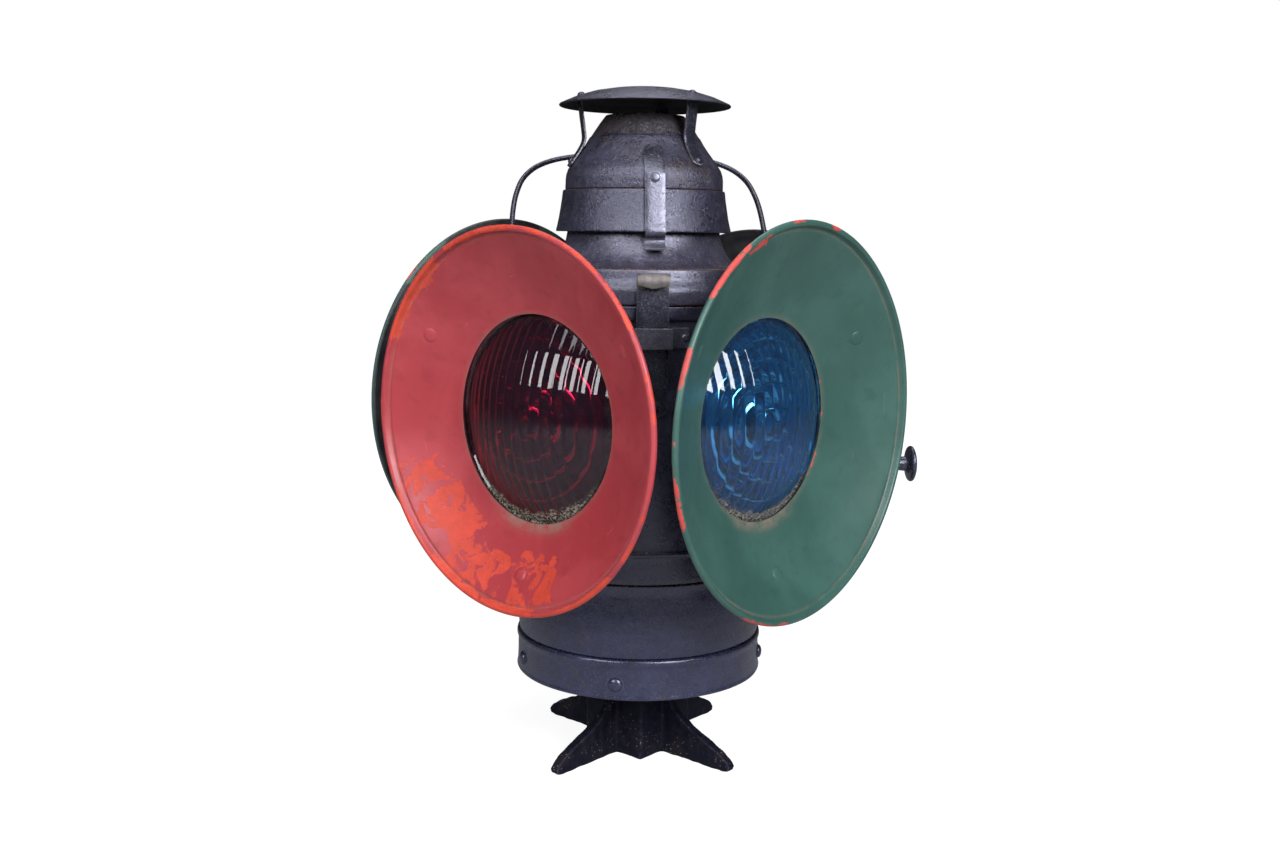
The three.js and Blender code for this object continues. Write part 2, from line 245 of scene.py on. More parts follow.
def strip_outline(path, t):
    """The two sides of a strip of thickness t along a path."""
    p = [np.array(q, float) for q in path]
    left, right = [], []
    for i, q in enumerate(p):
        a = (q - p[i - 1]) if i else (p[1] - q)
        b = (p[i + 1] - q) if i < len(p) - 1 else a
        a, b = a / np.linalg.norm(a), b / np.linalg.norm(b)
        n = np.array([-a[1] - b[1], a[0] + b[0]])
        n /= np.linalg.norm(n)
        k = t / 2 / max(0.5, n @ np.array([-a[1], a[0]]))
        left.append(q + n * k)
        right.append(q - n * k)
    return left, right


def smooth_path(path, per=6):
    """Centripetal curve through the path's points, with per points to a span."""
    p = [np.array(q, float) for q in path]
    p = [2 * p[0] - p[1]] + p + [2 * p[-1] - p[-2]]
    out = []
    for i in range(1, len(p) - 2):
        a, b, c, d = p[i - 1:i + 3]
        t = [0.0]
        for u, w in ((a, b), (b, c), (c, d)):
            t.append(t[-1] + max(1e-6, np.linalg.norm(w - u)) ** 0.5)
        for k in range(per):
            s = t[1] + (t[2] - t[1]) * k / per
            a1 = (t[1] - s) / (t[1] - t[0]) * a + (s - t[0]) / (t[1] - t[0]) * b
            a2 = (t[2] - s) / (t[2] - t[1]) * b + (s - t[1]) / (t[2] - t[1]) * c
            a3 = (t[3] - s) / (t[3] - t[2]) * c + (s - t[2]) / (t[3] - t[2]) * d
            b1 = (t[2] - s) / (t[2] - t[0]) * a1 + (s - t[0]) / (t[2] - t[0]) * a2
            b2 = (t[3] - s) / (t[3] - t[1]) * a2 + (s - t[1]) / (t[3] - t[1]) * a3
            out.append((t[2] - s) / (t[2] - t[1]) * b1 + (s - t[1]) / (t[2] - t[1]) * b2)
    out.append(p[-2])
    return out


def strap_grid(path, t, width, end0=0.0, end1=0.0, edge=0.35, per=5, cols=10):
    """A flat spring strip: a bent bar with rounded edges; end0 and end1 round its two ends in plan."""
    line = smooth_path(path, per)
    left, right = strip_outline(line, t)
    seg = [0.0]
    for a, b in zip(line, line[1:]):
        seg.append(seg[-1] + np.linalg.norm(b - a))
    total = seg[-1]
    rows = []
    ys = [math.sin(-math.pi / 2 + math.pi * k / cols) for k in range(cols + 1)]
    for i, s in enumerate(seg):
        w = width / 2
        for e, dist in ((end0, s), (end1, total - s)):
            if e > 0 and dist < e:
                x = 1 - dist / e
                w = min(w, width / 2 * math.sqrt(max(0.02, 1 - x * x)))
        l, r = left[i], right[i]
        c, h = (l + r) / 2, (l - r) / 2
        pts = []
        for y in ys:
            k = 1 - edge * abs(y) ** 6
            pts.append((c + h * k, y * w))
        for y in reversed(ys):
            k = 1 - edge * abs(y) ** 6
            pts.append((c - h * k, y * w))
        rows.append([(q[0], y, q[1]) for q, y in pts])
    m = len(rows[0])
    v = [p for row in rows for p in row]
    f = []
    for i in range(len(rows) - 1):
        for j in range(m):
            f.append((i * m + j, i * m + (j + 1) % m, (i + 1) * m + (j + 1) % m, (i + 1) * m + j))
    for base in (0, (len(rows) - 1) * m):
        n = m // 2
        for j in range(n - 1):
            f.append((base + j, base + j + 1, base + m - 2 - j, base + m - 1 - j))
    return v, f


def strap(name, path, t, width, bearing, body, mat, slot, replaces=(), **kw):
    v, f = strap_grid(path, t, width, **kw)
    return build(name, v, f, body, mat, replaces, turn_z(bearing), sharp=50)


def tube_grid(points, radius, sides=14):
    """Round bar along a line of 3-D points with domed ends."""
    p = [np.array(q, float) for q in points]
    tan = [(p[min(i + 1, len(p) - 1)] - p[max(i - 1, 0)]) for i in range(len(p))]
    tan = [t / np.linalg.norm(t) for t in tan]
    ref = np.array([0.0, 0.0, 1.0]) if abs(tan[0][2]) < 0.9 else np.array([1.0, 0.0, 0.0])
    u = np.cross(tan[0], ref)
    u /= np.linalg.norm(u)
    rings = []
    radii = radius if hasattr(radius, "__len__") else [radius] * len(p)
    for i, (q, t) in enumerate(zip(p, tan)):
        u = u - t * (u @ t)
        u /= np.linalg.norm(u)
        w = np.cross(t, u)
        if i == 0:
            for k, back in ((0.5, 0.8), (0.85, 0.45)):
                rings.append((q + t * radii[0] * (0.45 - back) * 0.6, u, w, radii[0] * k))
        rings.append((q, u, w, radii[i]))
        if i == len(p) - 1:
            for k, fwd in ((0.85, 0.1), (0.5, 0.25)):
                rings.append((q + t * radii[-1] * fwd, u, w, radii[-1] * k))
    v, f = [], []
    for q, a, b, r in rings:
        for k in range(sides):
            c, s = math.cos(TAU * k / sides), math.sin(TAU * k / sides)
            v.append(q + (a * c + b * s) * r)
    for i in range(len(rings) - 1):
        for k in range(sides):
            k2 = (k + 1) % sides
            f.append((i * sides + k, i * sides + k2, (i + 1) * sides + k2, (i + 1) * sides + k))
    f.append(tuple(range(sides)))
    f.append(tuple((len(rings) - 1) * sides + k for k in range(sides)))
    return v, f


def rivet_grid(r, z, radius, height, tilt=0.0, seg=28, lip=0.12):
    """Domed head whose flat side sits at radius r and height z, facing outwards."""
    prof = [(0, height)]
    for k in range(1, 7):
        a = k / 6 * math.pi / 2
        prof.append((radius * (1 - lip) * math.sin(a), height * (0.18 + 0.82 * math.cos(a))))
    prof += [(radius, height * 0.1), (radius * 0.98, 0), (0, 0)]
    v, f = spin_grid(prof, seg)
    return moved((v, open_axis(f, len(prof))), shift(r, 0, z) @ turn_y(90 - math.degrees(tilt)))


def merge(*grids):
    """Several grids as one list of vertices and faces."""
    vs, fs, n = [], [], 0
    for v, f in grids:
        vs.append(np.asarray(v, float))
        fs += [tuple(i + n for i in q) for q in f]
        n += len(v)
    return np.concatenate(vs), fs


def moved(grid, matrix):
    a = np.array(matrix)
    return np.asarray(grid[0], float) @ a[:3, :3].T + a[:3, 3], grid[1]


def bevel(ob, width, segments=2, angle=35):
    m = ob.modifiers.new("bevel", "BEVEL")
    m.width, m.segments = width * MM, segments
    m.limit_method = "ANGLE"
    m.angle_limit = math.radians(angle)


# ---------------------------------------------------------------- materials
class Shader:
    """A principled material and short calls that add nodes to it; coordinates are the object's, in metres."""

    def __init__(self, name):
        self.mat = bpy.data.materials.new(name)
        self.mat.use_nodes = True
        self.nt = self.mat.node_tree
        self.nt.nodes.clear()
        self.out = self.nt.nodes.new("ShaderNodeOutputMaterial")
        self.bsdf = self.nt.nodes.new("ShaderNodeBsdfPrincipled")
        self.nt.links.new(self.bsdf.outputs[0], self.out.inputs[0])
        self.obj = self.nt.nodes.new("ShaderNodeTexCoord").outputs["Object"]

    def put(self, socket, value):
        if isinstance(value, bpy.types.NodeSocket):
            self.nt.links.new(value, socket)
        elif isinstance(value, (tuple, list)):
            n = len(socket.default_value)
            socket.default_value = (list(value) + [1.0])[:n]
        else:
            socket.default_value = value

    def n(self, kind, ins=None, out=0, **props):
        node = self.nt.nodes.new("ShaderNode" + kind)
        for k, v in props.items():
            setattr(node, k, v)
        for k, v in (ins or {}).items():
            self.put(node.inputs[k], v)
        return node.outputs[out]

    def noise(self, scale, detail=5.0, rough=0.55, dist=0.0, vec=None):
        return self.n("TexNoise", {"Vector": vec or self.obj, "Scale": scale, "Detail": detail,
                                   "Roughness": rough, "Distortion": dist})

    def cells(self, scale):
        return self.n("TexVoronoi", {"Vector": self.obj, "Scale": scale, "Randomness": 1.0}, feature="F1")

    def math(self, op, a, b=0.0, clamp=False):
        return self.n("Math", {0: a, 1: b}, operation=op, use_clamp=clamp)

    def add(self, a, b, clamp=False):
        return self.math("ADD", a, b, clamp)

    def times(self, a, b, clamp=False):
        return self.math("MULTIPLY", a, b, clamp)

    def sway(self, noise, amount):
        """The noise about zero, scaled."""
        return self.times(self.math("SUBTRACT", noise, 0.5), amount)

    def step(self, x, a, b, lo=0.0, hi=1.0):
        """Smooth rise from lo to hi as x goes from a to b."""
        return self.n("MapRange", {"Value": x, "From Min": a, "From Max": b, "To Min": lo,
                                   "To Max": hi}, interpolation_type="SMOOTHSTEP")

    def mix(self, fac, a, b):
        node = self.nt.nodes.new("ShaderNodeMix")
        node.data_type = "RGBA"
        self.put(node.inputs[0], fac)
        self.put(node.inputs[6], a)
        self.put(node.inputs[7], b)
        return node.outputs[2]

    def ramp(self, fac, stops):
        node = self.nt.nodes.new("ShaderNodeValToRGB")
        el = node.color_ramp.elements
        while len(el) < len(stops):
            el.new(0.5)
        for e, (pos, col) in zip(el, stops):
            e.position = pos
            e.color = (*col, 1.0)
        self.put(node.inputs[0], fac)
        return node.outputs[0]

    def xyz(self):
        node = self.nt.nodes.new("ShaderNodeSeparateXYZ")
        self.put(node.inputs[0], self.obj)
        return node.outputs

    def attr(self, name):
        node = self.nt.nodes.new("ShaderNodeAttribute")
        node.attribute_name = name
        return node.outputs["Fac"]

    def bump(self, height, strength, dist):
        return self.n("Bump", {"Height": height, "Strength": strength, "Distance": dist})

    def set(self, **kw):
        for k, v in kw.items():
            self.put(self.bsdf.inputs[k.replace("_", " ")], v)


def edge_wear(s, lo=0.53, hi=0.60):
    point = s.n("NewGeometry", out="Pointiness")
    rough = s.noise(420, 4, 0.6)
    return s.step(s.add(point, s.sway(rough, 0.09)), lo, hi)


def black_paint(name, dark=(0.0085, 0.0078, 0.0150), light=(0.029, 0.028, 0.052),
                brown=(0.032, 0.022, 0.016), crust=0.5, rust_at=(), gloss=0.0, warm=0.0, wear=0.35,
                top_tone_from=None, top_tone=((0.022, 0.017, 0.016), (0.085, 0.066, 0.06))):
    """Old oil paint over sheet iron: mottled blue-black, gritty, its light grains partly a painted sparkle,
    rusty where pieces meet.
    """
    s = Shader(name)
    big = s.noise(26, 6, 0.6, 0.3)
    mid = s.noise(120, 7, 0.62, 0.2)
    fine = s.noise(560, 6, 0.68)
    grit = s.noise(1500, 3, 0.6)
    grain = s.noise(820, 3, 0.75)
    pores = s.cells(760)
    tone = s.add(s.times(big, 0.55), s.times(mid, 0.45))
    base = s.ramp(tone, [(0.34, dark), (0.5, tuple((a + b) / 2 for a, b in zip(dark, light))),
                         (0.66, light)])
    brownish = s.step(s.add(s.noise(46, 6, 0.7, 0.6), warm), 0.56, 0.72)
    base = s.mix(s.times(brownish, 0.75), base, brown)
    # from this height upwards the paint takes another tone: brownish and lighter on the hood's dome, darker
    # on the upper part of the catch
    if top_tone_from:
        top_zone = s.step(s.add(s.xyz()[2], s.sway(mid, 0.012)),
                     top_tone_from * MM, (top_tone_from + 2.5) * MM)
        base = s.mix(s.times(top_zone, 0.7), base, s.ramp(fine, [(0.35, top_tone[0]), (0.68, top_tone[1])]))
    specks = s.step(s.add(fine, s.times(mid, 0.35)), 0.735, 0.83)
    base = s.mix(s.times(specks, 0.55 * crust + 0.1), base, (0.085, 0.088, 0.12))
    base = s.mix(s.step(grain, 0.46, 0.30, 0.0, 0.30 + 0.55 * crust), base, (0.003, 0.003, 0.005))
    # light grains: crust grains, lightened into a painted sparkle of glints
    base = s.mix(s.step(grain, 0.55, 0.72, 0.0, 0.22 + 0.55 * crust), base, (0.082, 0.079, 0.108))
    blot = s.step(s.noise(75, 6, 0.66, 0.7), 0.56, 0.66, 0.0, 0.15 + 0.4 * crust)
    base = s.mix(blot, base, (0.058, 0.056, 0.078))
    worn = s.times(edge_wear(s), wear)
    base = s.mix(worn, base, (0.115, 0.105, 0.105))
    rusty = None
    z = s.xyz()[2]
    for zc, width in rust_at:
        off = s.math("ABSOLUTE", s.math("SUBTRACT", z, zc * MM))
        off = s.add(off, s.sway(mid, width * 2.6 * MM))
        line = s.step(off, width * MM, 0.0)
        line = s.times(line, s.step(s.noise(60, 4, 0.6), 0.38, 0.55))
        rusty = line if rusty is None else s.math("MAXIMUM", rusty, line)
    if rusty is not None:
        base = s.mix(rusty, base, s.ramp(fine, [(0.38, (0.012, 0.008, 0.008)), (0.68, (0.15, 0.072, 0.036))]))
    rough = s.add(0.18 - gloss, s.times(mid, 0.22))
    rough = s.add(rough, s.times(specks, 0.2), clamp=True)
    height = s.add(s.times(mid, 0.5), s.times(fine, 0.25 + 0.75 * crust))
    height = s.add(height, s.times(grit, 0.05 + 0.1 * crust))
    height = s.add(height, s.times(s.step(pores, 0.0, 0.35), 0.12))
    lumps = s.step(s.noise(330, 5, 0.6), 0.5, 0.72)
    height = s.add(height, s.times(lumps, 0.28 * crust))
    s.set(Base_Color=base, Roughness=rough, Normal=s.bump(height, 0.42 + 0.55 * crust, 0.0007))
    s.set(Specular_Tint=(0.80, 0.80, 1.0), Specular_IOR_Level=0.95)
    return s.mat


def iron_casting(name):
    s = Shader(name)
    big, mid, fine = s.noise(40, 6, 0.6), s.noise(230, 6, 0.6), s.noise(900, 5, 0.6)
    base = s.ramp(mid, [(0.3, (0.003, 0.003, 0.0070)), (0.55, (0.006, 0.0058, 0.0125)),
                        (0.75, (0.013, 0.012, 0.022))])
    base = s.mix(s.times(s.step(big, 0.52, 0.66), 0.5), base, (0.019, 0.014, 0.015))
    worn = s.times(edge_wear(s, 0.525, 0.60), 0.6)
    base = s.mix(worn, base, (0.10, 0.096, 0.108))
    flecks = s.step(s.cells(420), 0.20, 0.10)
    base = s.mix(s.times(flecks, s.step(big, 0.5, 0.62)), base, (0.19, 0.185, 0.2))
    height = s.add(s.times(mid, 1.0), s.times(fine, 0.35))
    s.set(Base_Color=base, Roughness=s.add(0.42, s.times(mid, 0.35)),
          Normal=s.bump(height, 0.75, 0.0006), Specular_Tint=(0.74, 0.78, 1.0),
          Specular_IOR_Level=0.17)
    return s.mat


def enamel(name, main, shade, under):
    """Old enamel on a day target, in the attributes chip (bare undercoat) and dirt."""
    s = Shader(name)
    big, mid, fine = s.noise(18, 5, 0.6, 0.4), s.noise(95, 7, 0.62, 0.3), s.noise(700, 5, 0.6)
    base = s.mix(s.step(big, 0.38, 0.64), main, shade)
    base = s.mix(s.times(s.step(mid, 0.52, 0.72), 0.35), base, tuple(c * 0.62 for c in main))
    bloom = s.step(s.noise(210, 6, 0.7, 0.2), 0.60, 0.74)
    base = s.mix(s.times(bloom, 0.22), base, tuple(min(1, c * 1.35 + 0.03) for c in main))
    blob = s.noise(64, 7, 0.64, 0.5)
    ragged = s.add(s.times(s.attr("chip"), 0.42), s.math("SUBTRACT", blob, 0.5))
    ragged = s.add(ragged, s.sway(fine, 0.16))
    chip = s.step(ragged, 0.285, 0.315)
    stray = s.step(s.noise(260, 6, 0.66, 0.8), 0.765, 0.785)
    chip = s.math("MAXIMUM", chip, s.times(stray, 0.7))
    undercol = s.ramp(s.add(s.times(mid, 0.6), s.times(fine, 0.4)),
                      [(0.35, tuple(c * 0.72 for c in under)), (0.62, under)])
    base = s.mix(chip, base, undercol)
    dark = s.step(s.cells(150), 0.10, 0.04)
    dark = s.times(dark, s.step(s.noise(33, 4, 0.6), 0.55, 0.66))
    base = s.mix(s.times(dark, 0.75), base, (0.05, 0.03, 0.025))
    grime = s.times(s.attr("dirt"), s.step(s.add(mid, s.times(fine, 0.35)), 0.40, 0.85))
    base = s.mix(s.times(grime, 1.0, clamp=True), base, (0.23, 0.17, 0.13))
    scratch = s.step(s.noise(50, 2, 0.5, vec=s.n("Mapping", {"Vector": s.obj, "Rotation": (0.4, 0.7, 0.3),
                                                             "Scale": (1, 14, 1)})), 0.735, 0.75)
    base = s.mix(s.times(scratch, 0.35), base, tuple(min(1, c * 1.5 + 0.05) for c in main))
    height = s.add(s.times(mid, 0.5), s.times(fine, 0.22))
    height = s.math("SUBTRACT", height, s.times(chip, 0.55))
    rough = s.add(0.26, s.times(mid, 0.22))
    rough = s.add(rough, s.times(chip, 0.16), clamp=True)
    s.set(Base_Color=base, Roughness=rough, Normal=s.bump(height, 0.32, 0.0005))
    s.set(Specular_IOR_Level=0.42)
    return s.mat


def target_back(name, rim):
    """Black back of a day target, the face colour showing through near its rim."""
    s = Shader(name)
    mid, fine = s.noise(110, 7, 0.62), s.noise(650, 5, 0.6)
    base = s.ramp(mid, [(0.35, (0.009, 0.009, 0.012)), (0.7, (0.030, 0.028, 0.032))])
    ragged = s.add(s.attr("chip"), s.sway(mid, 1.2))
    base = s.mix(s.times(s.step(ragged, 0.5, 0.62), 0.8), base, rim)
    s.set(Base_Color=base, Roughness=s.add(0.4, s.times(mid, 0.3)),
          Normal=s.bump(s.add(mid, s.times(fine, 0.4)), 0.45, 0.0005))
    return s.mat


def pressed_glass(name, tint, bearing, film_share, dust_and_glow_colour):
    """Tinted pressed glass with dirt gathered at the lower edge and a diffuse film, partly dust and partly a
    painted glow of light coming through the glass.
    """
    s = Shader(name)
    x, y, z = s.xyz()
    a = math.radians(bearing)
    side = s.add(s.times(x, -math.sin(a)), s.times(y, math.cos(a)))
    up = s.math("SUBTRACT", z, LENS_Z * MM)
    r = s.math("SQRT", s.add(s.times(side, side), s.times(up, up)))
    fine, mid = s.noise(700, 5, 0.65), s.noise(150, 5, 0.6)
    low = s.step(up, -0.030, -0.062)
    near = s.add(r, s.sway(mid, 0.014))
    edge = s.step(s.add(near, s.times(low, 0.0035)), 0.0605, 0.0650)
    crust = s.times(edge, s.add(0.05, s.times(low, 1.1)), clamp=True)
    crust = s.times(crust, s.step(fine, 0.40, 0.60))
    dots = s.times(s.step(s.cells(230), 0.11, 0.05), s.step(s.noise(90, 3, 0.6), 0.50, 0.62))
    crust = s.math("MAXIMUM", crust, s.times(dots, 0.55))
    # the film: partly dust, partly a painted glow, a tinted diffuse layer standing for light that comes
    # through the coloured glass from inside the lamp
    film = s.times(s.step(mid, 0.2, 0.8, 0.6, 1.0), film_share)
    crumbs = s.ramp(fine, [(0.36, (0.05, 0.045, 0.04)), (0.62, (0.36, 0.32, 0.25))])
    dirt = s.n("BsdfDiffuse", {"Color": crumbs})
    dust_and_glow_film = s.n("BsdfDiffuse", {"Color": dust_and_glow_colour})
    s.set(Base_Color=tint, Roughness=0.03, IOR=1.52, Transmission_Weight=1.0)
    s.set(Normal=s.bump(s.noise(60, 3, 0.5), 0.05, 0.0006))
    a1 = s.n("MixShader", {0: film, 1: s.bsdf.outputs[0], 2: dust_and_glow_film})
    a2 = s.n("MixShader", {0: crust, 1: a1, 2: dirt})
    s.nt.links.new(a2, s.out.inputs[0])
    return s.mat


def metal(name, low, high, rough, metallic=1.0, grain=200, bump=0.25):
    s = Shader(name)
    mid, fine = s.noise(grain, 6, 0.6), s.noise(grain * 5, 4, 0.6)
    stain = s.step(s.noise(40, 5, 0.65), 0.5, 0.72)
    base = s.mix(s.times(stain, 0.7), s.ramp(mid, [(0.3, low), (0.7, high)]), tuple(c * 0.3 for c in low))
    s.set(Base_Color=base, Metallic=metallic, Roughness=s.add(rough, s.times(mid, 0.25)),
          Normal=s.bump(s.add(mid, s.times(fine, 0.3)), bump, 0.0003))
    return s.mat


def cloth(name, low, high, scale):
    s = Shader(name)
    weave = s.n("TexWave", {"Vector": s.obj, "Scale": scale, "Distortion": 1.2, "Detail": 2.0}, out=1,
                bands_direction="Z")
    fine = s.noise(900, 5, 0.6)
    s.set(Base_Color=s.ramp(fine, [(0.3, low), (0.7, high)]), Roughness=0.95,
          Normal=s.bump(s.add(weave, fine), 0.5, 0.0004))
    return s.mat


M_BODY = black_paint("body_paint", rust_at=((SHELL_Z0 + 20.4, 0.7), (SEAM_Z - 0.4, 0.6)), crust=0.35)
M_TOP = black_paint("top_paint", dark=(0.022, 0.021, 0.032), light=(0.070, 0.066, 0.098),
                    rust_at=((SEAM_Z + 0.5, 0.55), (TOP_Z0 + 22.6, 0.9)), crust=0.5, gloss=0.07, wear=0.6)
M_DRUM = black_paint("drum_paint", dark=(0.0095, 0.0105, 0.026), light=(0.024, 0.027, 0.062),
                     rust_at=((SHELL_Z0 - 0.6, 0.6),), crust=0.1, gloss=0.02)
M_HOOD = black_paint("hood_paint", dark=(0.010, 0.009, 0.017), light=(0.037, 0.036, 0.062),
                     rust_at=((DOME_Z0, 0.4),), crust=0.85, warm=0.05, wear=0.3, top_tone_from=DOME_Z0 + 34)
M_SKIRT = black_paint("skirt_paint", rust_at=((SKIRT_Z1, 0.5),), crust=0.75, warm=0.02)
M_CAP = black_paint("cap_paint", crust=0.8, warm=0.02, wear=0.5)
M_FIT = black_paint("fitting_paint", dark=(0.008, 0.008, 0.013), light=(0.024, 0.024, 0.038), crust=0.3,
                    gloss=0.04, wear=0.8)
# catch paint: the black paint made lighter, a painted sheen for the highlights on the glossy catch spring,
# its rivet and the latch loop; from 8 mm above the dome's foot upwards it is darker
M_CATCH_SHEEN = black_paint("catch_paint_painted_sheen", dark=(0.020, 0.020, 0.030), light=(0.065, 0.064, 0.090), crust=0.25,
                      gloss=0.08, wear=0.8, top_tone_from=DOME_Z0 + 8,
                      top_tone=((0.004, 0.004, 0.007), (0.026, 0.025, 0.036)))
M_LIP = metal("worn_lip", (0.06, 0.052, 0.050), (0.19, 0.165, 0.16), 0.40, 0.25, 260, 0.5)
M_IRON = iron_casting("socket_iron")
RED_MAIN, RED_SHADE, ORANGE = (0.315, 0.033, 0.041), (0.37, 0.047, 0.056), (0.56, 0.055, 0.030)
GREEN_MAIN, GREEN_SHADE, GREEN_UNDER = (0.030, 0.083, 0.068), (0.040, 0.102, 0.085), (0.50, 0.060, 0.050)
M_RED = enamel("red_enamel", RED_MAIN, RED_SHADE, ORANGE)
M_GREEN = enamel("green_enamel", GREEN_MAIN, GREEN_SHADE, GREEN_UNDER)
M_BACK_RED = target_back("red_target_back", (0.30, 0.05, 0.04))
M_BACK_GREEN = target_back("green_target_back", (0.045, 0.10, 0.08))
M_TIN = metal("tinplate", (0.16, 0.16, 0.16), (0.34, 0.34, 0.34), 0.35, 0.9)
M_BRASS = metal("aged_brass", (0.24, 0.15, 0.055), (0.42, 0.29, 0.12), 0.32, 1.0)
# near-black dull cloth for the cap's underside: soot, and painted shade
M_SOOT_AND_SHADE = cloth("soot_and_painted_shade", (0.004, 0.004, 0.005), (0.011, 0.010, 0.012), 90)
M_FELT = cloth("grey_felt", (0.05, 0.045, 0.04), (0.11, 0.10, 0.09), 60)
M_WICK = cloth("woven_cotton", (0.32, 0.29, 0.22), (0.62, 0.58, 0.48), 300)


# ---------------------------------------------------------------- base
def soft_casting(node, name, mat, body, voxel=1.1, skin=0.25):
    """The CAD solid with its edges softened and its skin a little uneven, as sand-cast iron."""
    me = frame["nodes"][node].data.copy()
    source = placed("socket_source", me)
    remesh = source.modifiers.new("remesh", "REMESH")
    remesh.mode, remesh.voxel_size, remesh.use_smooth_shade = "VOXEL", voxel * MM, True
    soften = source.modifiers.new("soften", "SMOOTH")
    soften.factor, soften.iterations = 0.5, 7
    bpy.context.view_layer.update()
    got = bpy.data.meshes.new_from_object(source.evaluated_get(bpy.context.evaluated_depsgraph_get()))
    bpy.data.objects.remove(source)
    co, no = per_vertex(got, "co"), per_vertex(got, "normal")
    co -= no * (skin * MM * (1 + wob(co / MM, 9, 5)).clip(0, 2))[:, None]
    co[:, 2] = co[:, 2].clip(0, None)
    got.vertices.foreach_set("co", co.ravel())
    got.polygons.foreach_set("use_smooth", [True] * len(got.polygons))
    got.materials.clear()
    got.materials.append(mat)
    ob = placed(name, got)
    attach(ob, body)
    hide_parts(node)


soft_casting("mounting_socket", "socket_casting", M_IRON, "body")

PLATE_Z0, PLATE_Z1 = z_of("base_plate")
PLATE_R = half("base_plate")
revolve("base_plate_sheet", [(0, PLATE_Z0), (PLATE_R - 6, PLATE_Z0), (PLATE_R - 4, PLATE_Z0 + 0.5),
        (PLATE_R, PLATE_Z0 + 0.5), (PLATE_R, PLATE_Z1), (0, PLATE_Z1)], "body", M_DRUM,
        "base_plate", seg=120, dents=None)

BAND_R = half("base_band")
band_prof = [(82.3, BAND_Z0 + 0.4), (BAND_R - 0.6, BAND_Z0), (BAND_R, BAND_Z0 + 0.8), (84.6, BAND_Z0 + 3),
             (84.3, BAND_Z0 + 12), (84.2, BAND_Z0 + 20.5), (84.6, BAND_Z0 + 21.8), (85.05, BAND_Z0 + 23.3),
             (85.1, BAND_Z0 + 24.8), (84.6, BAND_Z0 + 26.2), (83.7, BAND_Z1), (82.3, BAND_Z1)]
revolve("base_band_hoop", band_prof, "body", M_DRUM, "base_band", seg=240, rnd=0.6,
        step=3, dents=(0.25, 30), seed=3)
for i in range(1, 6):
    node = f"base_rivet_{i}"
    lo, hi = mm_box(node)
    c = [(a + b) / 2 for a, b in zip(lo, hi)]
    bearing = math.degrees(math.atan2(c[1], c[0]))
    v, f = rivet_grid(84.0, c[2], (hi[2] - lo[2]) / 2 * 1.3, 2.9, lip=0.22)
    build(f"band_rivet_{i}", v, f, "body", M_DRUM, node, turn_z(bearing))

DRUM_Z0, DRUM_Z1 = z_of("lower_drum")
drum_prof = [(80.4, DRUM_Z0), (82, DRUM_Z0), (82, DRUM_Z0 + 22.2), (83.5, DRUM_Z0 + 22.4),
             (83.9, DRUM_Z0 + 27), (83.9, DRUM_Z0 + 39), (83.3, DRUM_Z0 + 48), (82.4, DRUM_Z0 + 56),
             (81.6, DRUM_Z0 + 64), (81.7, DRUM_Z1 - 2.4), (82.0, DRUM_Z1 - 0.4), (81.2, DRUM_Z1),
             (79.6, DRUM_Z1), (80.0, DRUM_Z0 + 60), (82.2, DRUM_Z0 + 39), (82, DRUM_Z0 + 23.6),
             (80.4, DRUM_Z0 + 21)]
revolve("drum_sheet", drum_prof, "body", M_DRUM, "lower_drum", seg=240, rnd=1.2, step=3,
        dents=(0.3, 45), seed=7)

# ---------------------------------------------------------------- lamp body with its four openings
BODY_R = 81.0
shell_prof = [(79.5, SHELL_Z0), (80.7, SHELL_Z0), (80.7, SHELL_Z0 + 18), (81.9, SHELL_Z0 + 18.8),
              (82.2, SHELL_Z0 + 20), (81.9, SHELL_Z0 + 21.3), (BODY_R, SHELL_Z0 + 22),
              (BODY_R, SHELL_Z1 - 9.6), (82.5, SHELL_Z1 - 8.3), (82.8, SHELL_Z1 - 6.5),
              (82.8, SHELL_Z1 - 0.5), (82.4, SHELL_Z1), (79.5, SHELL_Z1)]
shell = revolve("body_sheet", shell_prof, "body", M_BODY, "body_shell", seg=256, rnd=0.5,
                step=3.5, dents=(0.35, 40), seed=11)


def cone_cutter(bearing):
    """A temporary cone that opens the body wall at one lens."""
    prof = [(0, 60), (41.9, 60), (57, 81.4), (60, 86), (0, 86)]
    v, f = spin_grid(prof, 96)
    v, f = moved((v, open_axis(f, len(prof))), face_matrix(bearing))
    me = bpy.data.meshes.new("cut")
    me.from_pydata((v * MM).tolist(), [], f)
    bm = bmesh.new()
    bm.from_mesh(me)
    bmesh.ops.remove_doubles(bm, verts=bm.verts, dist=1e-6)
    bmesh.ops.recalc_face_normals(bm, faces=bm.faces)
    bm.to_mesh(me)
    bm.free()
    ob = placed("cut", me)
    return ob


cutters = [cone_cutter(90 * k) for k in range(4)]
for cutter in cutters:
    opening = shell.modifiers.new("opening", "BOOLEAN")
    opening.operation, opening.object, opening.solver = "DIFFERENCE", cutter, "EXACT"
bpy.context.view_layer.update()
cut_mesh = bpy.data.meshes.new_from_object(shell.evaluated_get(bpy.context.evaluated_depsgraph_get()))
shell.modifiers.clear()
shell.data = cut_mesh
shell.data.set_sharp_from_angle(angle=math.radians(38))
for cutter in cutters:
    bpy.data.objects.remove(cutter)

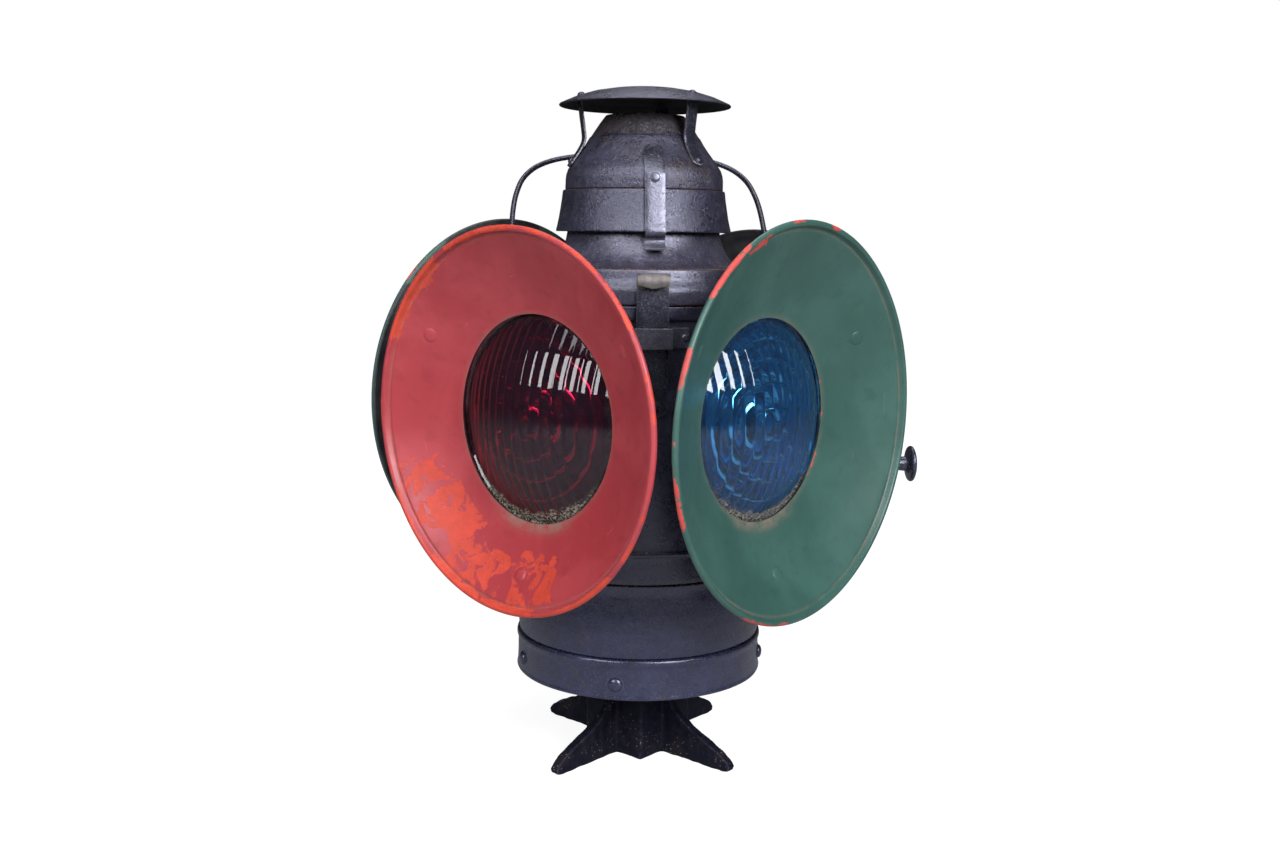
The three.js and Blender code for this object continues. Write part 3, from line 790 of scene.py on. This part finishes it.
# ---------------------------------------------------------------- four lens heads
HEADS = [("front_red", 270), ("right_green", 0), ("rear_red", 90), ("left_green", 180)]
LENS_FLANGE = (z_of("lens_front_red")[1] - z_of("lens_front_red")[0]) / 2
RIB = 7.9  # pitch of the lens flutes
RIB_ANGLE = math.radians(25)  # half the arc of a flute
LENS_OPEN_R, LENS_TOP, LENS_BULGE = 66.2, 120.55, 113  # clear radius, height and radius of the dome
HOLDER_R, SEAT_R = 70.8, 66.3  # outside and inside radii of a lens holder at its lens
BOW = 2.6  # how far a target's face sags below a straight cone
RIVET_R, CARRIER_R = 98.0, 74.0  # target rivets and carrier ring


def head_dims(tag):
    """Rim radius and rim plane of a target from its CAD box, with its opening radius and opening plane as
    given numbers.
    """
    lo, hi = mm_box(f"day_target_{tag}")
    axis = 0 if hi[0] - lo[0] < hi[1] - lo[1] else 1
    opening, opening_plane = (66.6, 103.5) if "red" in tag else (65.4, 103.8)
    return (hi[2] - lo[2]) / 2, max(abs(lo[axis]), abs(hi[axis])), opening, opening_plane


def target_face(tag):
    """Height of a target's face over its radius: a shallow cone, bowed inwards; and its slope."""
    rim, plane, opening, opening_plane = head_dims(tag)
    slope = (plane - opening_plane) / (rim - opening)

    def face(r):
        sag = 4 * BOW * max(0, (r - opening) * (rim - r)) / (rim - opening) ** 2
        return opening_plane + (r - opening) * slope - sag
    return face, slope


def lens_outer(x, y):
    """Height of the fluted face along the lens axis at (across, up)."""
    r2 = x * x + y * y
    base = LENS_TOP - (LENS_BULGE - np.sqrt(LENS_BULGE ** 2 - r2))
    t = (x / RIB) - np.round(x / RIB)
    arc = RIB / 2 / math.sin(RIB_ANGLE)
    h = np.sqrt(np.maximum(arc ** 2 - (t * RIB) ** 2, 0)) - arc * math.cos(RIB_ANGLE)
    fade = smooth(np.sqrt(r2), LENS_OPEN_R + 0.1, LENS_OPEN_R - 2)
    return base + h * (0.15 + 0.85 * fade)


def lens_grid():
    """Closed lens about +Z: ribbed outside in columns that follow the ribs, stepped rings inside."""
    per = 10
    reach = int(LENS_OPEN_R // RIB) + 1
    xs = [k * RIB / per for k in range(-reach * per, reach * per + 1)]
    xs = [x for x in xs if abs(x) < LENS_OPEN_R - 0.15]
    xs = [-LENS_OPEN_R * 0.9995] + xs + [LENS_OPEN_R * 0.9995]
    rows = 72
    v, f = [], []
    for x in xs:
        ym = math.sqrt(max(LENS_OPEN_R ** 2 - x * x, 0.0004))
        for j in range(rows + 1):
            y = ym * math.sin(-math.pi / 2 + math.pi * j / rows)
            v.append((y, x, float(lens_outer(np.array(x), np.array(y)))))
    m = rows + 1
    for i in range(len(xs) - 1):
        for j in range(rows):
            f.append((i * m + j, i * m + j + 1, (i + 1) * m + j + 1, (i + 1) * m + j))
    last = len(xs) - 1
    loop = list(range(m)) + [i * m + rows for i in range(1, last + 1)]
    loop += [last * m + j for j in range(rows - 1, -1, -1)] + [i * m for i in range(last - 1, 0, -1)]
    seg = len(loop)
    ang = [math.atan2(v[i][1], v[i][0]) for i in loop]
    prof = [(66.2, 100.7), (LENS_FLANGE - 0.2, 100.6), (LENS_FLANGE, 100.0), (LENS_FLANGE, 97.2),
            (LENS_FLANGE - 0.4, 96.7), (63.2, 96.7)]
    ring_r = [61.5, 49.5, 37.0, 24.0, 11.0]
    depth = 99.2
    for k, r in enumerate(ring_r):
        prof += [(r + 0.9, depth - 0.9), (r + 0.25, depth + 1.9), (r - 0.5, depth + 2.6)]
        nxt = ring_r[k + 1] if k + 1 < len(ring_r) else 0
        steps = 5
        for q in range(1, steps + 1):
            rr = r + (nxt + 0.9 - r) * q / (steps + 0.01)
            if rr > 0.5:
                prof.append((rr, depth + 2.6 + 1.2 * (q / steps) ** 0.7 - 1.9 * (q / steps) ** 2))
        depth += 2.1
    prof.append((0, depth + 0.6))
    base = len(v)
    for r, z in prof[1:]:
        for a in ang:
            v.append((r * math.cos(a), r * math.sin(a), z))
    rings = [loop] + [[base + k * seg + i for i in range(seg)] for k in range(len(prof) - 1)]
    for a, b in zip(rings, rings[1:]):
        for i in range(seg):
            j = (i + 1) % seg
            f.append((a[i], a[j], b[j], b[i]))
    return np.array(v), f


LENS_V, LENS_F = lens_grid()


def rim_angle(v):
    """Angle round the target seen from the front, 0 at the top, positive towards its right."""
    return np.degrees(np.arctan2(v[:, 1], -v[:, 0]))


def arc_mask(ang, centre, width):
    d = np.abs((ang - centre + 180) % 360 - 180)
    return smooth(d, width, width * 0.55)


# Where the topcoat is gone: angle and half width in degrees, inner and outer share of the way to
# the rim, strength
CHIPS = {
    "front_red": [(-50, 24, 0.87, 1.1, 1.0), (-14, 20, 0.93, 1.1, 1.0), (20, 26, 0.965, 1.1, 0.9),
                  (52, 14, 0.97, 1.1, 0.75), (78, 9, 0.965, 1.1, 0.8), (118, 12, 0.97, 1.1, 0.85),
                  (150, 24, 0.945, 1.1, 1.0), (-168, 34, 0.90, 1.1, 1.0), (-128, 24, 0.93, 1.1, 0.9),
                  (-90, 16, 0.965, 1.1, 0.8), (-138, 22, 0.22, 0.72, 0.80), (-160, 20, 0.42, 0.96, 0.84),
                  (-122, 20, 0.30, 0.90, 0.64), (172, 16, 0.30, 0.92, 0.74), (-42, 10, 0.80, 0.93, 0.7),
                  (-112, 10, 0.20, 0.60, 0.5)],
    "right_green": [(-38, 17, 0.965, 1.1, 1.0), (-24, 7, 0.86, 0.965, 0.95), (-70, 8, 0.975, 1.1, 0.75),
                    (-100, 24, 0.985, 1.1, 0.6), (-5, 4, 0.97, 1.1, 0.8), (14, 4, 0.96, 1.1, 0.95),
                    (38, 5, 0.975, 1.1, 0.8), (60, 9, 0.985, 1.1, 0.85), (85, 5, 0.98, 1.1, 0.6),
                    (-160, 12, 0.975, 1.1, 0.9), (-172, 4, 0.955, 1.1, 0.9), (172, 7, 0.975, 1.1, 0.7),
                    (78, 26, -0.1, 0.006, 0.72), (122, 12, -0.1, 0.03, 0.8)],
    "rear_red": [(20, 24, 0.93, 1.1, 0.3), (140, 30, 0.95, 1.1, 0.8), (-80, 20, 0.95, 1.1, 0.75),
                 (100, 14, 0.30, 0.70, 0.6)],
    "left_green": [(40, 14, 0.96, 1.1, 0.85), (-110, 18, 0.965, 1.1, 0.8), (170, 10, 0.96, 1.1, 0.8),
                   (-20, 8, 0.90, 1.1, 0.7)],
}


def holder_line(sine):
    """Outline of a lens holder at one angle round it: a cone whose rear end is cut to the body's round."""
    def meet(r0, z0, slope):
        z = 66.0
        for _ in range(40):
            r = r0 + (z - z0) * slope
            z = math.sqrt(max((BODY_R + 0.4) ** 2 - (r * sine) ** 2, 1))
        return r0 + (z - z0) * slope, z
    ro, zo = meet(45.5, 62, (HOLDER_R - 45.5) / 35.5)
    ri, zi = meet(43.4, 61, (SEAT_R - 43.4) / 32.4)
    outside = [(ro + (HOLDER_R - ro) * t, zo + (97.5 - zo) * t) for t in (0, 0.2, 0.4, 0.6, 0.8, 0.97)]
    seat = [(HOLDER_R, 98.2), (HOLDER_R, 100.9), (70.4, 101.3), (69.2, 101.3), (68.9, 101), (68.9, 95),
            (62, 95), (62, 93.4), (SEAT_R, 93.4)]
    inside = [(SEAT_R + (ri - SEAT_R) * t, 93.4 + (zi - 93.4) * t) for t in (0.33, 0.66, 1)]
    return outside + seat + inside


def lens_holder(tag, fm, seg=144):
    ang = [TAU * i / seg for i in range(seg)]
    lines = [holder_line(math.sin(a)) for a in ang]
    v = [(r * math.cos(a), r * math.sin(a), z) for a, line in zip(ang, lines) for r, z in line]
    m = len(lines[0])
    f = spin_grid(lines[0], seg)[1]
    tinned = [1 if q[0] % m >= m - 5 else 0 for q in f]
    build(f"lens_holder_{tag}", v, f, "body", [M_BODY, M_TIN], f"lens_barrel_{tag}", fm,
          mat_ids=tinned)


def glazing(tag, fm, bearing):
    """The felt ring and the fluted lens in its holder."""
    revolve(f"felt_ring_{tag}", [(62.4, 95.3), (68, 95.3), (68, 96.3), (62.4, 96.3)], "body", M_FELT,
            f"lens_gasket_{tag}", seg=96, rnd=0.4, dents=None, matrix=fm)
    # the last colour of each glass is its film: partly dust, partly a painted glow of light through the glass
    if "red" in tag:
        glass = pressed_glass(f"red_glass_{tag}", (0.30, 0.004, 0.026), bearing, 0.10, (0.10, 0.045, 0.09))
    else:
        glass = pressed_glass(f"green_glass_{tag}", (0.08, 0.44, 0.92), bearing, 0.10, (0.045, 0.170, 0.37))
    build(f"fluted_lens_{tag}", LENS_V, LENS_F, "body", glass,
          f"lens_{tag}", fm, sharp=55)


def wear_maps(ob, tag, fm, rim, opening):
    """The attributes chip and dirt on a target."""
    inv = np.array(fm.inverted())
    loc = (per_vertex(ob.data, "co") / MM) @ inv[:3, :3].T + inv[:3, 3]
    rr = np.hypot(loc[:, 0], loc[:, 1])
    share = (rr - opening) / (rim - opening)
    ang = rim_angle(loc)
    chip = np.zeros(len(loc))
    for centre, width, start, end, strength in CHIPS[tag]:
        inside = smooth(share, start - 0.035, start + 0.02) * smooth(share, end + 0.035, end - 0.02)
        chip = np.maximum(chip, arc_mask(ang, centre, width) * inside * strength)
    chip = np.maximum(chip, (0.42 if tag == "front_red" else 0.22) * smooth(share, 0.95, 1.0))
    dirt = 0.95 * arc_mask(ang, 180, 34) * smooth(rr, opening + 9, opening)
    dirt = np.maximum(dirt, 0.5 * arc_mask(ang, 180, 60) * smooth(rr, opening + 3.0, opening))
    dirt = np.maximum(dirt, 0.30 * smooth(rr, opening + 1.6, opening))
    dirt = np.maximum(dirt, 0.35 * np.exp(-((rr - (rim - 5.6)) / 0.9) ** 2))
    for name, values in (("chip", chip), ("dirt", dirt)):
        layer = ob.data.attributes.new(name, "FLOAT", "POINT")
        layer.data.foreach_set("value", values.astype(np.float32))


def target_dish(tag, fm, paint, back, seed):
    """Front face, groove, wired rim and back face of a day target."""
    rim, plane, opening, _ = head_dims(tag)
    face, slope = target_face(tag)
    front = [(r, face(r)) for r in np.linspace(opening, rim - 7.4, 15)]
    front += [(rim - inset, face(rim - inset) - deep)
              for inset, deep in ((6.6, 0.1), (5.9, 0.7), (5.2, 1.05), (4.6, 0.8))]
    wire_r = 2.1
    around = [math.radians(t) for t in range(155, -101, -15)]
    wire = [(rim - wire_r + wire_r * math.cos(t), plane - wire_r + wire_r * math.sin(t)) for t in around]
    rear = [(rim - 4.6, face(rim - 4.6) - 2.6), (rim - 6.5, face(rim - 6.5) - 1.5)]
    rear += [(r, face(r) - 1.35) for r in np.linspace(rim - 6.5, opening, 13)[1:]]
    prof = front + wire + rear
    v, f = spin_grid(prof, 240)
    rr = np.hypot(v[:, 0], v[:, 1])
    inner = smooth(rr, rim - 4, rim - 30) * smooth(rr, opening, opening + 8)
    v[:, 2] -= 0.55 * inner * (0.5 + 0.5 * wob(v, 60, seed))
    v[:, 2] -= 0.35 * smooth(rr, opening + 20, rim) * (0.5 + 0.5 * wob(v, 110, seed + 9)).clip(0, 1)
    black_from = len(front) + (0 if tag == "rear_red" else 12)
    ids = [1 if q[0] % len(prof) >= black_from else 0 for q in f]
    dish = build(f"target_dish_{tag}", v, f, "body", [paint, back], f"day_target_{tag}", fm,
                 mat_ids=ids, sharp=60)
    wear_maps(dish, tag, fm, rim, opening)

    # flush rivets showing under the paint
    dome = [(0, 0.75), (2.4, 0.68), (4.1, 0.42), (4.9, 0.0), (4.9, -0.5), (0, -0.5)]
    v, f = spin_grid(dome, 40)
    tilt = turn_y(-math.degrees(math.atan(slope)))
    for k in range(3):
        at = fm @ turn_z(120 * k) @ shift(RIVET_R, 0, face(RIVET_R) - 0.25) @ tilt
        ob = build(f"target_rivet_{tag}_{k + 1}", v, open_axis(f, len(dome)), "body", paint, (), at)
        for name in ("chip", "dirt"):
            ob.data.attributes.new(name, "FLOAT", "POINT")


def carrier(tag, fm):
    """Ring round the holder with three arms under the target, and the tails of the target's rivets."""
    face, _ = target_face(tag)

    def tip(r):
        return face(r) - 3.1
    grids = [spin_grid(fillet([(71.1, 90.5), (CARRIER_R, 90.5), (CARRIER_R, 95.6), (71.1, 95.6)], 0.6), 144)]
    arm = strap_grid([(73.2, 92.2), (77, tip(77)), (88, tip(88)), (103, tip(103))], 2, 10, end1=5)
    tail = moved(rivet_grid(0, 0, 3.6, 1.8), shift(RIVET_R, 0, tip(RIVET_R) - 0.9) @ turn_y(90))
    for k in range(3):
        grids += [moved(arm, turn_z(120 * k)), moved(tail, turn_z(120 * k))]
    v, f = merge(*grids)
    build(f"carrier_{tag}", v, f, "body", M_FIT, f"target_carrier_{tag}", fm, sharp=50)


for i, (tag, bearing) in enumerate(HEADS):
    at = face_matrix(bearing)
    lens_holder(tag, at)
    glazing(tag, at, bearing)
    target_dish(tag, at, *((M_RED, M_BACK_RED) if "red" in tag else (M_GREEN, M_BACK_GREEN)), seed=21 + i)
    carrier(tag, at)

# ---------------------------------------------------------------- inside the body
FZ0, FZ1 = z_of("fount")
FR = half("fount")
can_prof = [(0, FZ0), (FR - 2, FZ0), (FR, FZ0 + 2), (FR, FZ1 - 15), (FR - 4, FZ1 - 10), (24, FZ1 - 10),
            (16, FZ1 - 6), (14, FZ1), (12.6, FZ1), (12.6, FZ1 - 5), (23.6, FZ1 - 11.4),
            (FR - 4.6, FZ1 - 11.4), (FR - 1.4, FZ1 - 15.4), (FR - 1.4, FZ0 + 2.6), (FR - 2.4, FZ0 + 1.4),
            (0, FZ0 + 1.4)]
revolve("fount_can", can_prof, "body", M_TIN, "fount", seg=96, rnd=1.0, step=8, dents=(0.3, 30))
lo, hi = mm_box("filler_cap")
plug = [(0, lo[2]), (9.6, lo[2]), (9.6, hi[2] - 2), (8.6, hi[2] - 0.4), (7.5, hi[2]), (0, hi[2])]
v, f = spin_grid(plug, 72)
knurl = 1 + 0.03 * np.cos(np.arctan2(v[:, 1], v[:, 0]) * 24)
v[:, :2] *= knurl[:, None]
build("filler_plug", v, open_axis(f, len(plug)), "body", M_BRASS, "filler_cap",
      shift((lo[0] + hi[0]) / 2, (lo[1] + hi[1]) / 2, 0))

for node, name, mat, slot, rides, width in (
        ("burner", "burner_body", M_BRASS, "brass", "body", 0.5),
        ("wick", "wick_strip", M_WICK, "wick_cotton", "wick", 0.5),
        ("wick_wheel", "star_wheel", M_BRASS, "brass", "wick_key", 0.3),
        ("hinge_leaf_lower", "hinge_leaf_fixed", M_FIT, "iron_fittings", "body", 0.35),
        ("hinge_leaf_upper", "hinge_leaf_moving", M_FIT, "iron_fittings", "top", 0.35),
        # the latch loop takes the lighter catch paint, a painted sheen
        ("latch_bracket", "latch_loop", M_CATCH_SHEEN, "iron_fittings", "body", 0.45),
        ("bail_ear_right", "bail_lug_right", M_FIT, "iron_fittings", "top", 0.4),
        ("bail_ear_left", "bail_lug_left", M_FIT, "iron_fittings", "top", 0.4),
        ("shaft_bushing", "key_bushing", M_FIT, "iron_fittings", "body", 0.3)):
    src = frame["nodes"][node].data.copy()
    bm = bmesh.new()
    bm.from_mesh(src)
    bmesh.ops.remove_doubles(bm, verts=bm.verts, dist=2e-6)
    bmesh.ops.dissolve_limit(bm, angle_limit=math.radians(2), verts=bm.verts, edges=bm.edges)
    bm.to_mesh(src)
    bm.free()
    src.materials.clear()
    src.materials.append(mat)
    src.polygons.foreach_set("use_smooth", [True] * len(src.polygons))
    src.set_sharp_from_angle(angle=math.radians(35))
    ob = placed(name, src)
    bevel(ob, width, 3, 40)
    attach(ob, rides)
    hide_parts(node)

# ---------------------------------------------------------------- wick key
side = turn_z(SIDE)
line = [(x, SHAFT_U, WICK_Z) for x in np.linspace(-3.3, 173.4, 24)]
v, f = tube_grid(line, 2.0, 20)
build("key_shaft", v, f, "wick_key", M_FIT, "wick_shaft", side)
knob = fillet([(0, 174), (4.3, 174), (5, 175.4), (4.7, 181), (5.2, 185.6), (7.5, 187.4), (11.6, 187.9),
               (12.65, 189.2), (12.3, 190.6), (10.2, 191.6), (5, 192.0), (0, 192.3)], 0.8, closed=False)
v, f = spin_grid(knob, 72)
build("key_knob", v, open_axis(f, len(knob)), "wick_key", M_FIT, "wick_knob",
      side @ shift(0, SHAFT_U, WICK_Z) @ turn_y(90))
v, f = tube_grid([(HINGE_R, y, SEAM_Z) for y in (-15.7, -8, 0, 8, 15.7)], 1.6, 16)
build("hinge_rod", v, f, "body", M_FIT, "hinge_pin", turn_z(REAR))

# ---------------------------------------------------------------- latch
leaf = [(82.3, 243.2), (82.3, 262), (85.3, 292), (86, 304), (86.2, 327.5)]
strap("latch_spring", leaf, 1.7, 20, FRONT, "latch", M_FIT, "iron_fittings", "latch_leaf", end0=6, edge=0.5)
lip = [(86.2, 326.8), (86.6, 331), (88.4, 333.6), (90.9, 333.4), (92.3, 330.6), (92.3, 327.8), (91.7, 325.7)]
strap("latch_thumb_lip", lip, 1.9, 20.4, FRONT, "latch", M_LIP, "iron_fittings", (), end1=3.4, edge=0.55)
v, f = rivet_grid(83.1, 250, 5.6, 2.7)
build("latch_rivet_head", v, f, "latch", M_FIT, "latch_rivet", turn_z(FRONT))

# ---------------------------------------------------------------- top section
top_prof = [(82.6, TOP_Z0), (83.6, TOP_Z0 + 0.6), (84.05, TOP_Z0 + 3.2), (84.2, TOP_Z0 + 6),
            (84.1, TOP_Z0 + 9.2),
            (83.2, TOP_Z0 + 11.6), (81.7, TOP_Z0 + 14), (80.7, TOP_Z0 + 16.4), (80.3, TOP_Z0 + 19.5),
            (79.9, TOP_Z0 + 21.9), (78.6, TOP_Z0 + 22.8), (70, TOP_Z0 + 23.4), (64, TOP_Z0 + 24.2),
            (60.2, TOP_Z0 + 26.2), (56.6, TOP_Z0 + 30.6), (54, TOP_Z0 + 35.4), (52.4, TOP_Z0 + 40),
            (51.6, TOP_Z0 + 45), (50.4, TOP_Z0 + 71), (49.9, TOP_Z1), (48.5, TOP_Z1), (49.9, TOP_Z0 + 45.5),
            (54.6, TOP_Z0 + 30), (63.3, TOP_Z0 + 22.5), (78.2, TOP_Z0 + 21), (82.4, TOP_Z0 + 8.5),
            (81.6, TOP_Z0)]
revolve("top_sheet", top_prof, "top", M_TOP, "top_shell", seg=256, rnd=1.6, step=2.6,
        dents=(0.3, 26), seed=31)
liner = [(49.2, 360.3), (44, 364.6), (37, 374), (36, 396), (34.6, 396), (35.6, 373.4), (43, 364),
         (47.8, 359.7)]
revolve("draft_liner", liner, "top", M_TIN, "draft_cone", seg=96, dents=(0.3, 20))

# ---------------------------------------------------------------- bail
lean = math.radians(48)
w_end, l_end = 90.0, 145.0
halfp = [(w_end, 1.5), (90, 18), (90, 36), (89.8, 64), (89.0, 84), (87, 100), (82.4, 116.4), (74, 128.6),
         (63, 136.2), (50, 140.6), (28, 143.8)]
full = smooth_path(halfp + [(0, l_end)] + [(-a, b) for a, b in reversed(halfp)], 8)


def bail_point(w, l):
    return (w, l * math.sin(lean), BAIL_Z + l * math.cos(lean))


arch = [bail_point(w, l) for w, l in full]
sag = wob(np.array(arch), 90, 77) * 0.5
arch = [(p[0], p[1], p[2] + d) for p, d in zip(arch, sag)]
end_a = [(85.6, 0, BAIL_Z), (87.6, 0, BAIL_Z), (89.1, 0.35, BAIL_Z + 0.35)]
end_b = [(-x, y, z) for x, y, z in reversed(end_a)]
v, f = tube_grid(end_a + arch + end_b, 1.9, 16)
build("bail_wire", v, f, "bail", M_FIT, "bail", turn_z(SIDE), sharp=60)

# ---------------------------------------------------------------- hood and smoke cap
skirt_prof = [(57.8, SKIRT_Z0), (59.0, SKIRT_Z0), (59.2, SKIRT_Z0 + 0.8), (58.3, SKIRT_Z0 + 4.2),
              (57.2, SKIRT_Z0 + 9), (56.2, SKIRT_Z0 + 15), (55.3, SKIRT_Z0 + 21), (54.7, SKIRT_Z1 - 0.6),
              (54.2, SKIRT_Z1), (53.1, SKIRT_Z1), (54.3, SKIRT_Z0 + 18), (55.6, SKIRT_Z0 + 10)]
revolve("hood_skirt_sheet", skirt_prof, "hood", M_SKIRT, "hood_skirt", seg=200, rnd=0.5,
        step=2.4, dents=(0.35, 26), seed=41)
dome_prof = [(53.1, DOME_Z0), (53.2, DOME_Z0 + 0.8), (53.1, DOME_Z0 + 7), (52.7, DOME_Z0 + 10),
             (51.6, DOME_Z0 + 13.2),
             (50.2, DOME_Z0 + 15.4), (48.2, DOME_Z0 + 18.2), (45.6, DOME_Z0 + 21.8), (42.9, DOME_Z0 + 25.4),
             (39.8, DOME_Z0 + 29.8), (37.2, DOME_Z0 + 34.2), (36.3, DOME_Z0 + 34.9),
             (33.2, DOME_Z0 + 39.6), (30.4, DOME_Z0 + 43.8),
             (28, DOME_Z0 + 47), (26.4, DOME_Z1), (25.2, DOME_Z1 - 0.5), (28.6, DOME_Z0 + 43.2),
             (35.7, DOME_Z0 + 33.4), (41.8, DOME_Z0 + 24), (49, DOME_Z0 + 14), (51.5, DOME_Z0 + 8),
             (51.8, DOME_Z0)]
revolve("hood_dome_sheet", dome_prof, "hood", M_HOOD, "hood_dome", seg=200, rnd=0.6, step=2.2,
        dents=(0.45, 24), seed=43)
cap_prof = [(0, CAP_Z1), (12, CAP_Z1 - 0.35), (24, CAP_Z1 - 1.5), (36, CAP_Z1 - 3.6), (47, CAP_Z1 - 7),
            (57.2, CAP_Z1 - 11.35), (57.65, CAP_Z0 + 0.75), (57.3, CAP_Z0), (56.6, CAP_Z0 + 0.1),
            (47, CAP_Z0 + 4.2), (36, CAP_Z0 + 7.5), (24, CAP_Z0 + 9.6), (0, CAP_Z0 + 11.1)]
smoke_cap = revolve("smoke_cap_sheet", cap_prof, "hood", M_CAP, "smoke_cap", seg=200,
                    rnd=1.2, step=3, dents=(0.4, 22), seed=47)
# the cap's down-facing faces take the near-black, dull soot material: soot from the flame, and painted shade
# on the cap's underside
smoke_cap.data.materials.append(M_SOOT_AND_SHADE)
for face in smoke_cap.data.polygons:
    face.material_index = 1 if face.normal.z < -0.3 else 0
strut_path = [(51.9, 402.1), (44.8, 412.4), (41.5, 419.3), (41.9, 427), (43.3, 437), (44, 446.6)]
bar = strap_grid(strut_path, 2.0, 9.5, end0=2.2, edge=0.5)
foot = rivet_grid(50.0, 406.1, 2.7, 1.9, tilt=math.radians(34.6))
rivet_v, rivet_f = rivet_grid(0, 0, 2.7, 1.8)
for i, bearing in enumerate((-125, -5, 115)):
    v, f = merge(bar, foot)
    turned = turn_z(bearing)
    build(f"cap_leg_{i + 1}", v, f, "hood", M_FIT, f"cap_strut_{i + 1}", turned, sharp=50)
    at = turned @ shift(43.6, 0, CAP_Z1 - 6.0) @ turn_y(-74)
    build(f"cap_rivet_{i + 1}", rivet_v, rivet_f, "hood", M_CAP, (), at)
catch = [(41.9, 415.6), (44.6, 412.1), (48.3, 407.8), (51.8, 402.4), (54.6, 396.6), (55.8, 388.6),
         (56.7, 382), (57.9, 374), (59.4, 366), (60.9, 360.8), (60.7, 358.4),
         (57.6, 356.2), (57.2, 354), (60.8, 348.6)]
strap("catch_spring", catch, 1.4, 13, FRONT + 3, "hood_catch", M_CATCH_SHEEN, "iron_fittings", "hood_catch",
      end0=5.5, edge=0.5)
v, f = rivet_grid(0, 0, 3.6, 0.75)
build("catch_rivet_head", v, f, "hood_catch", M_CATCH_SHEEN, "hood_catch_rivet",
      turn_z(FRONT + 3) @ shift(55.9, 0, 394.2) @ turn_y(-8.5))

# ---------------------------------------------------------------- stage, light, camera
# The floor is near white to the camera and gives less light to the lamp, so that the paint stays dark.
floor_mat = Shader("pale_floor")
fx, fy, _ = floor_mat.xyz()
reach = floor_mat.math("SQRT", floor_mat.add(floor_mat.times(fx, fx), floor_mat.times(fy, fy)))
glossy = floor_mat.n("LightPath", out="Is Glossy Ray")
lit = floor_mat.n("MapRange", {"Value": glossy, "To Min": floor_mat.step(reach, 0.75, 0.45, 0.02, 0.22),
                               "To Max": floor_mat.step(reach, 0.75, 0.45, 0.02, 0.06)})
seen = floor_mat.n("LightPath", out="Is Camera Ray")
glow = floor_mat.n("MapRange", {"Value": seen, "To Min": lit,
                               "To Max": floor_mat.step(reach, 0.3, 1.1, 0.87, 1.0)})
floor_mat.set(Base_Color=(0.30, 0.30, 0.31), Roughness=0.8, Specular_IOR_Level=0.0)
floor_mat.set(Emission_Color=(1, 1, 1), Emission_Strength=glow)
FLOOR = 60.0
floor_mesh = bpy.data.meshes.new("floor")
floor_mesh.from_pydata([(-FLOOR, -FLOOR, 0), (FLOOR, -FLOOR, 0), (FLOOR, FLOOR, 0), (-FLOOR, FLOOR, 0)],
                       [], [(0, 1, 2, 3)])
floor_mesh.materials.append(floor_mat.mat)
floor = placed("floor", floor_mesh)

AIM, LIGHT_DIST, COOL = Vector((0, 0, 0.24)), 1.7, (0.96, 0.97, 1.0)
for name, az, el, width, height, power in (
        ("right_softbox", 72, 25, 0.80, 0.62, 32),
        ("front_canopy", 36, 52, 1.6, 0.7, 17),
        ("left_softbox", 4, 24, 0.70, 0.60, 15),
        ("top_softbox", 215, 68, 0.8, 0.8, 9)):
    a, e = math.radians(az), math.radians(el)
    data = bpy.data.lights.new(name, "AREA")
    data.shape, data.size, data.size_y = "RECTANGLE", width, height
    data.energy, data.color = power, COOL
    ob = placed(name, data)
    ray = Vector((math.sin(a) * math.cos(e), -math.cos(a) * math.cos(e), math.sin(e)))
    ob.location = AIM + ray * LIGHT_DIST
    ob.rotation_euler = (AIM - ob.location).to_track_quat("-Z", "Y").to_euler()

# The world is white to the camera and gives the lamp only a faint light.
world = bpy.data.worlds.new("studio")
bpy.context.scene.world = world
world.use_nodes = True
nt = world.node_tree
path = nt.nodes.new("ShaderNodeLightPath")
strength = nt.nodes.new("ShaderNodeMapRange")
strength.inputs["To Min"].default_value = 0.05
strength.inputs["To Max"].default_value = 1.0
nt.links.new(path.outputs["Is Camera Ray"], strength.inputs["Value"])
nt.links.new(strength.outputs[0], nt.nodes["Background"].inputs["Strength"])
nt.nodes["Background"].inputs["Color"].default_value = (1, 1, 1, 1)

# The camera, fitted to the photo: bearing, distance, height and side step, pitch and roll, focal length
AZ, DIST, HEIGHT, SIDESTEP, PITCH, ROLL = math.radians(40.8), 0.905, 0.358, -0.00065, 8.26, 0.74
FOCAL_PX, PHOTO_W = 1324.4, 1280
toward = Vector((math.sin(AZ), -math.cos(AZ), 0))
right = Vector((math.cos(AZ), math.sin(AZ), 0))
cam_data = bpy.data.cameras.new("camera")
cam_data.sensor_width = 36.0
cam_data.lens = FOCAL_PX * 36.0 / PHOTO_W
cam_data.clip_start, cam_data.clip_end = 0.05, 200
cam = placed("camera", cam_data)
pos = toward * DIST + right * SIDESTEP + Vector((0, 0, HEIGHT))
p = math.radians(PITCH)
fwd = -toward * math.cos(p) + Vector((0, 0, -math.sin(p)))
rt = fwd.cross(Vector((0, 0, 1))).normalized()
up = rt.cross(fwd)
roll = math.radians(ROLL)
rt2 = rt * math.cos(roll) + up * math.sin(roll)
up2 = -rt * math.sin(roll) + up * math.cos(roll)
rot = Matrix((rt2, up2, -fwd)).transposed().to_4x4()
cam.matrix_world = Matrix.Translation(pos) @ rot
bpy.context.scene.camera = cam
bpy.context.scene.view_settings.view_transform = "Standard"
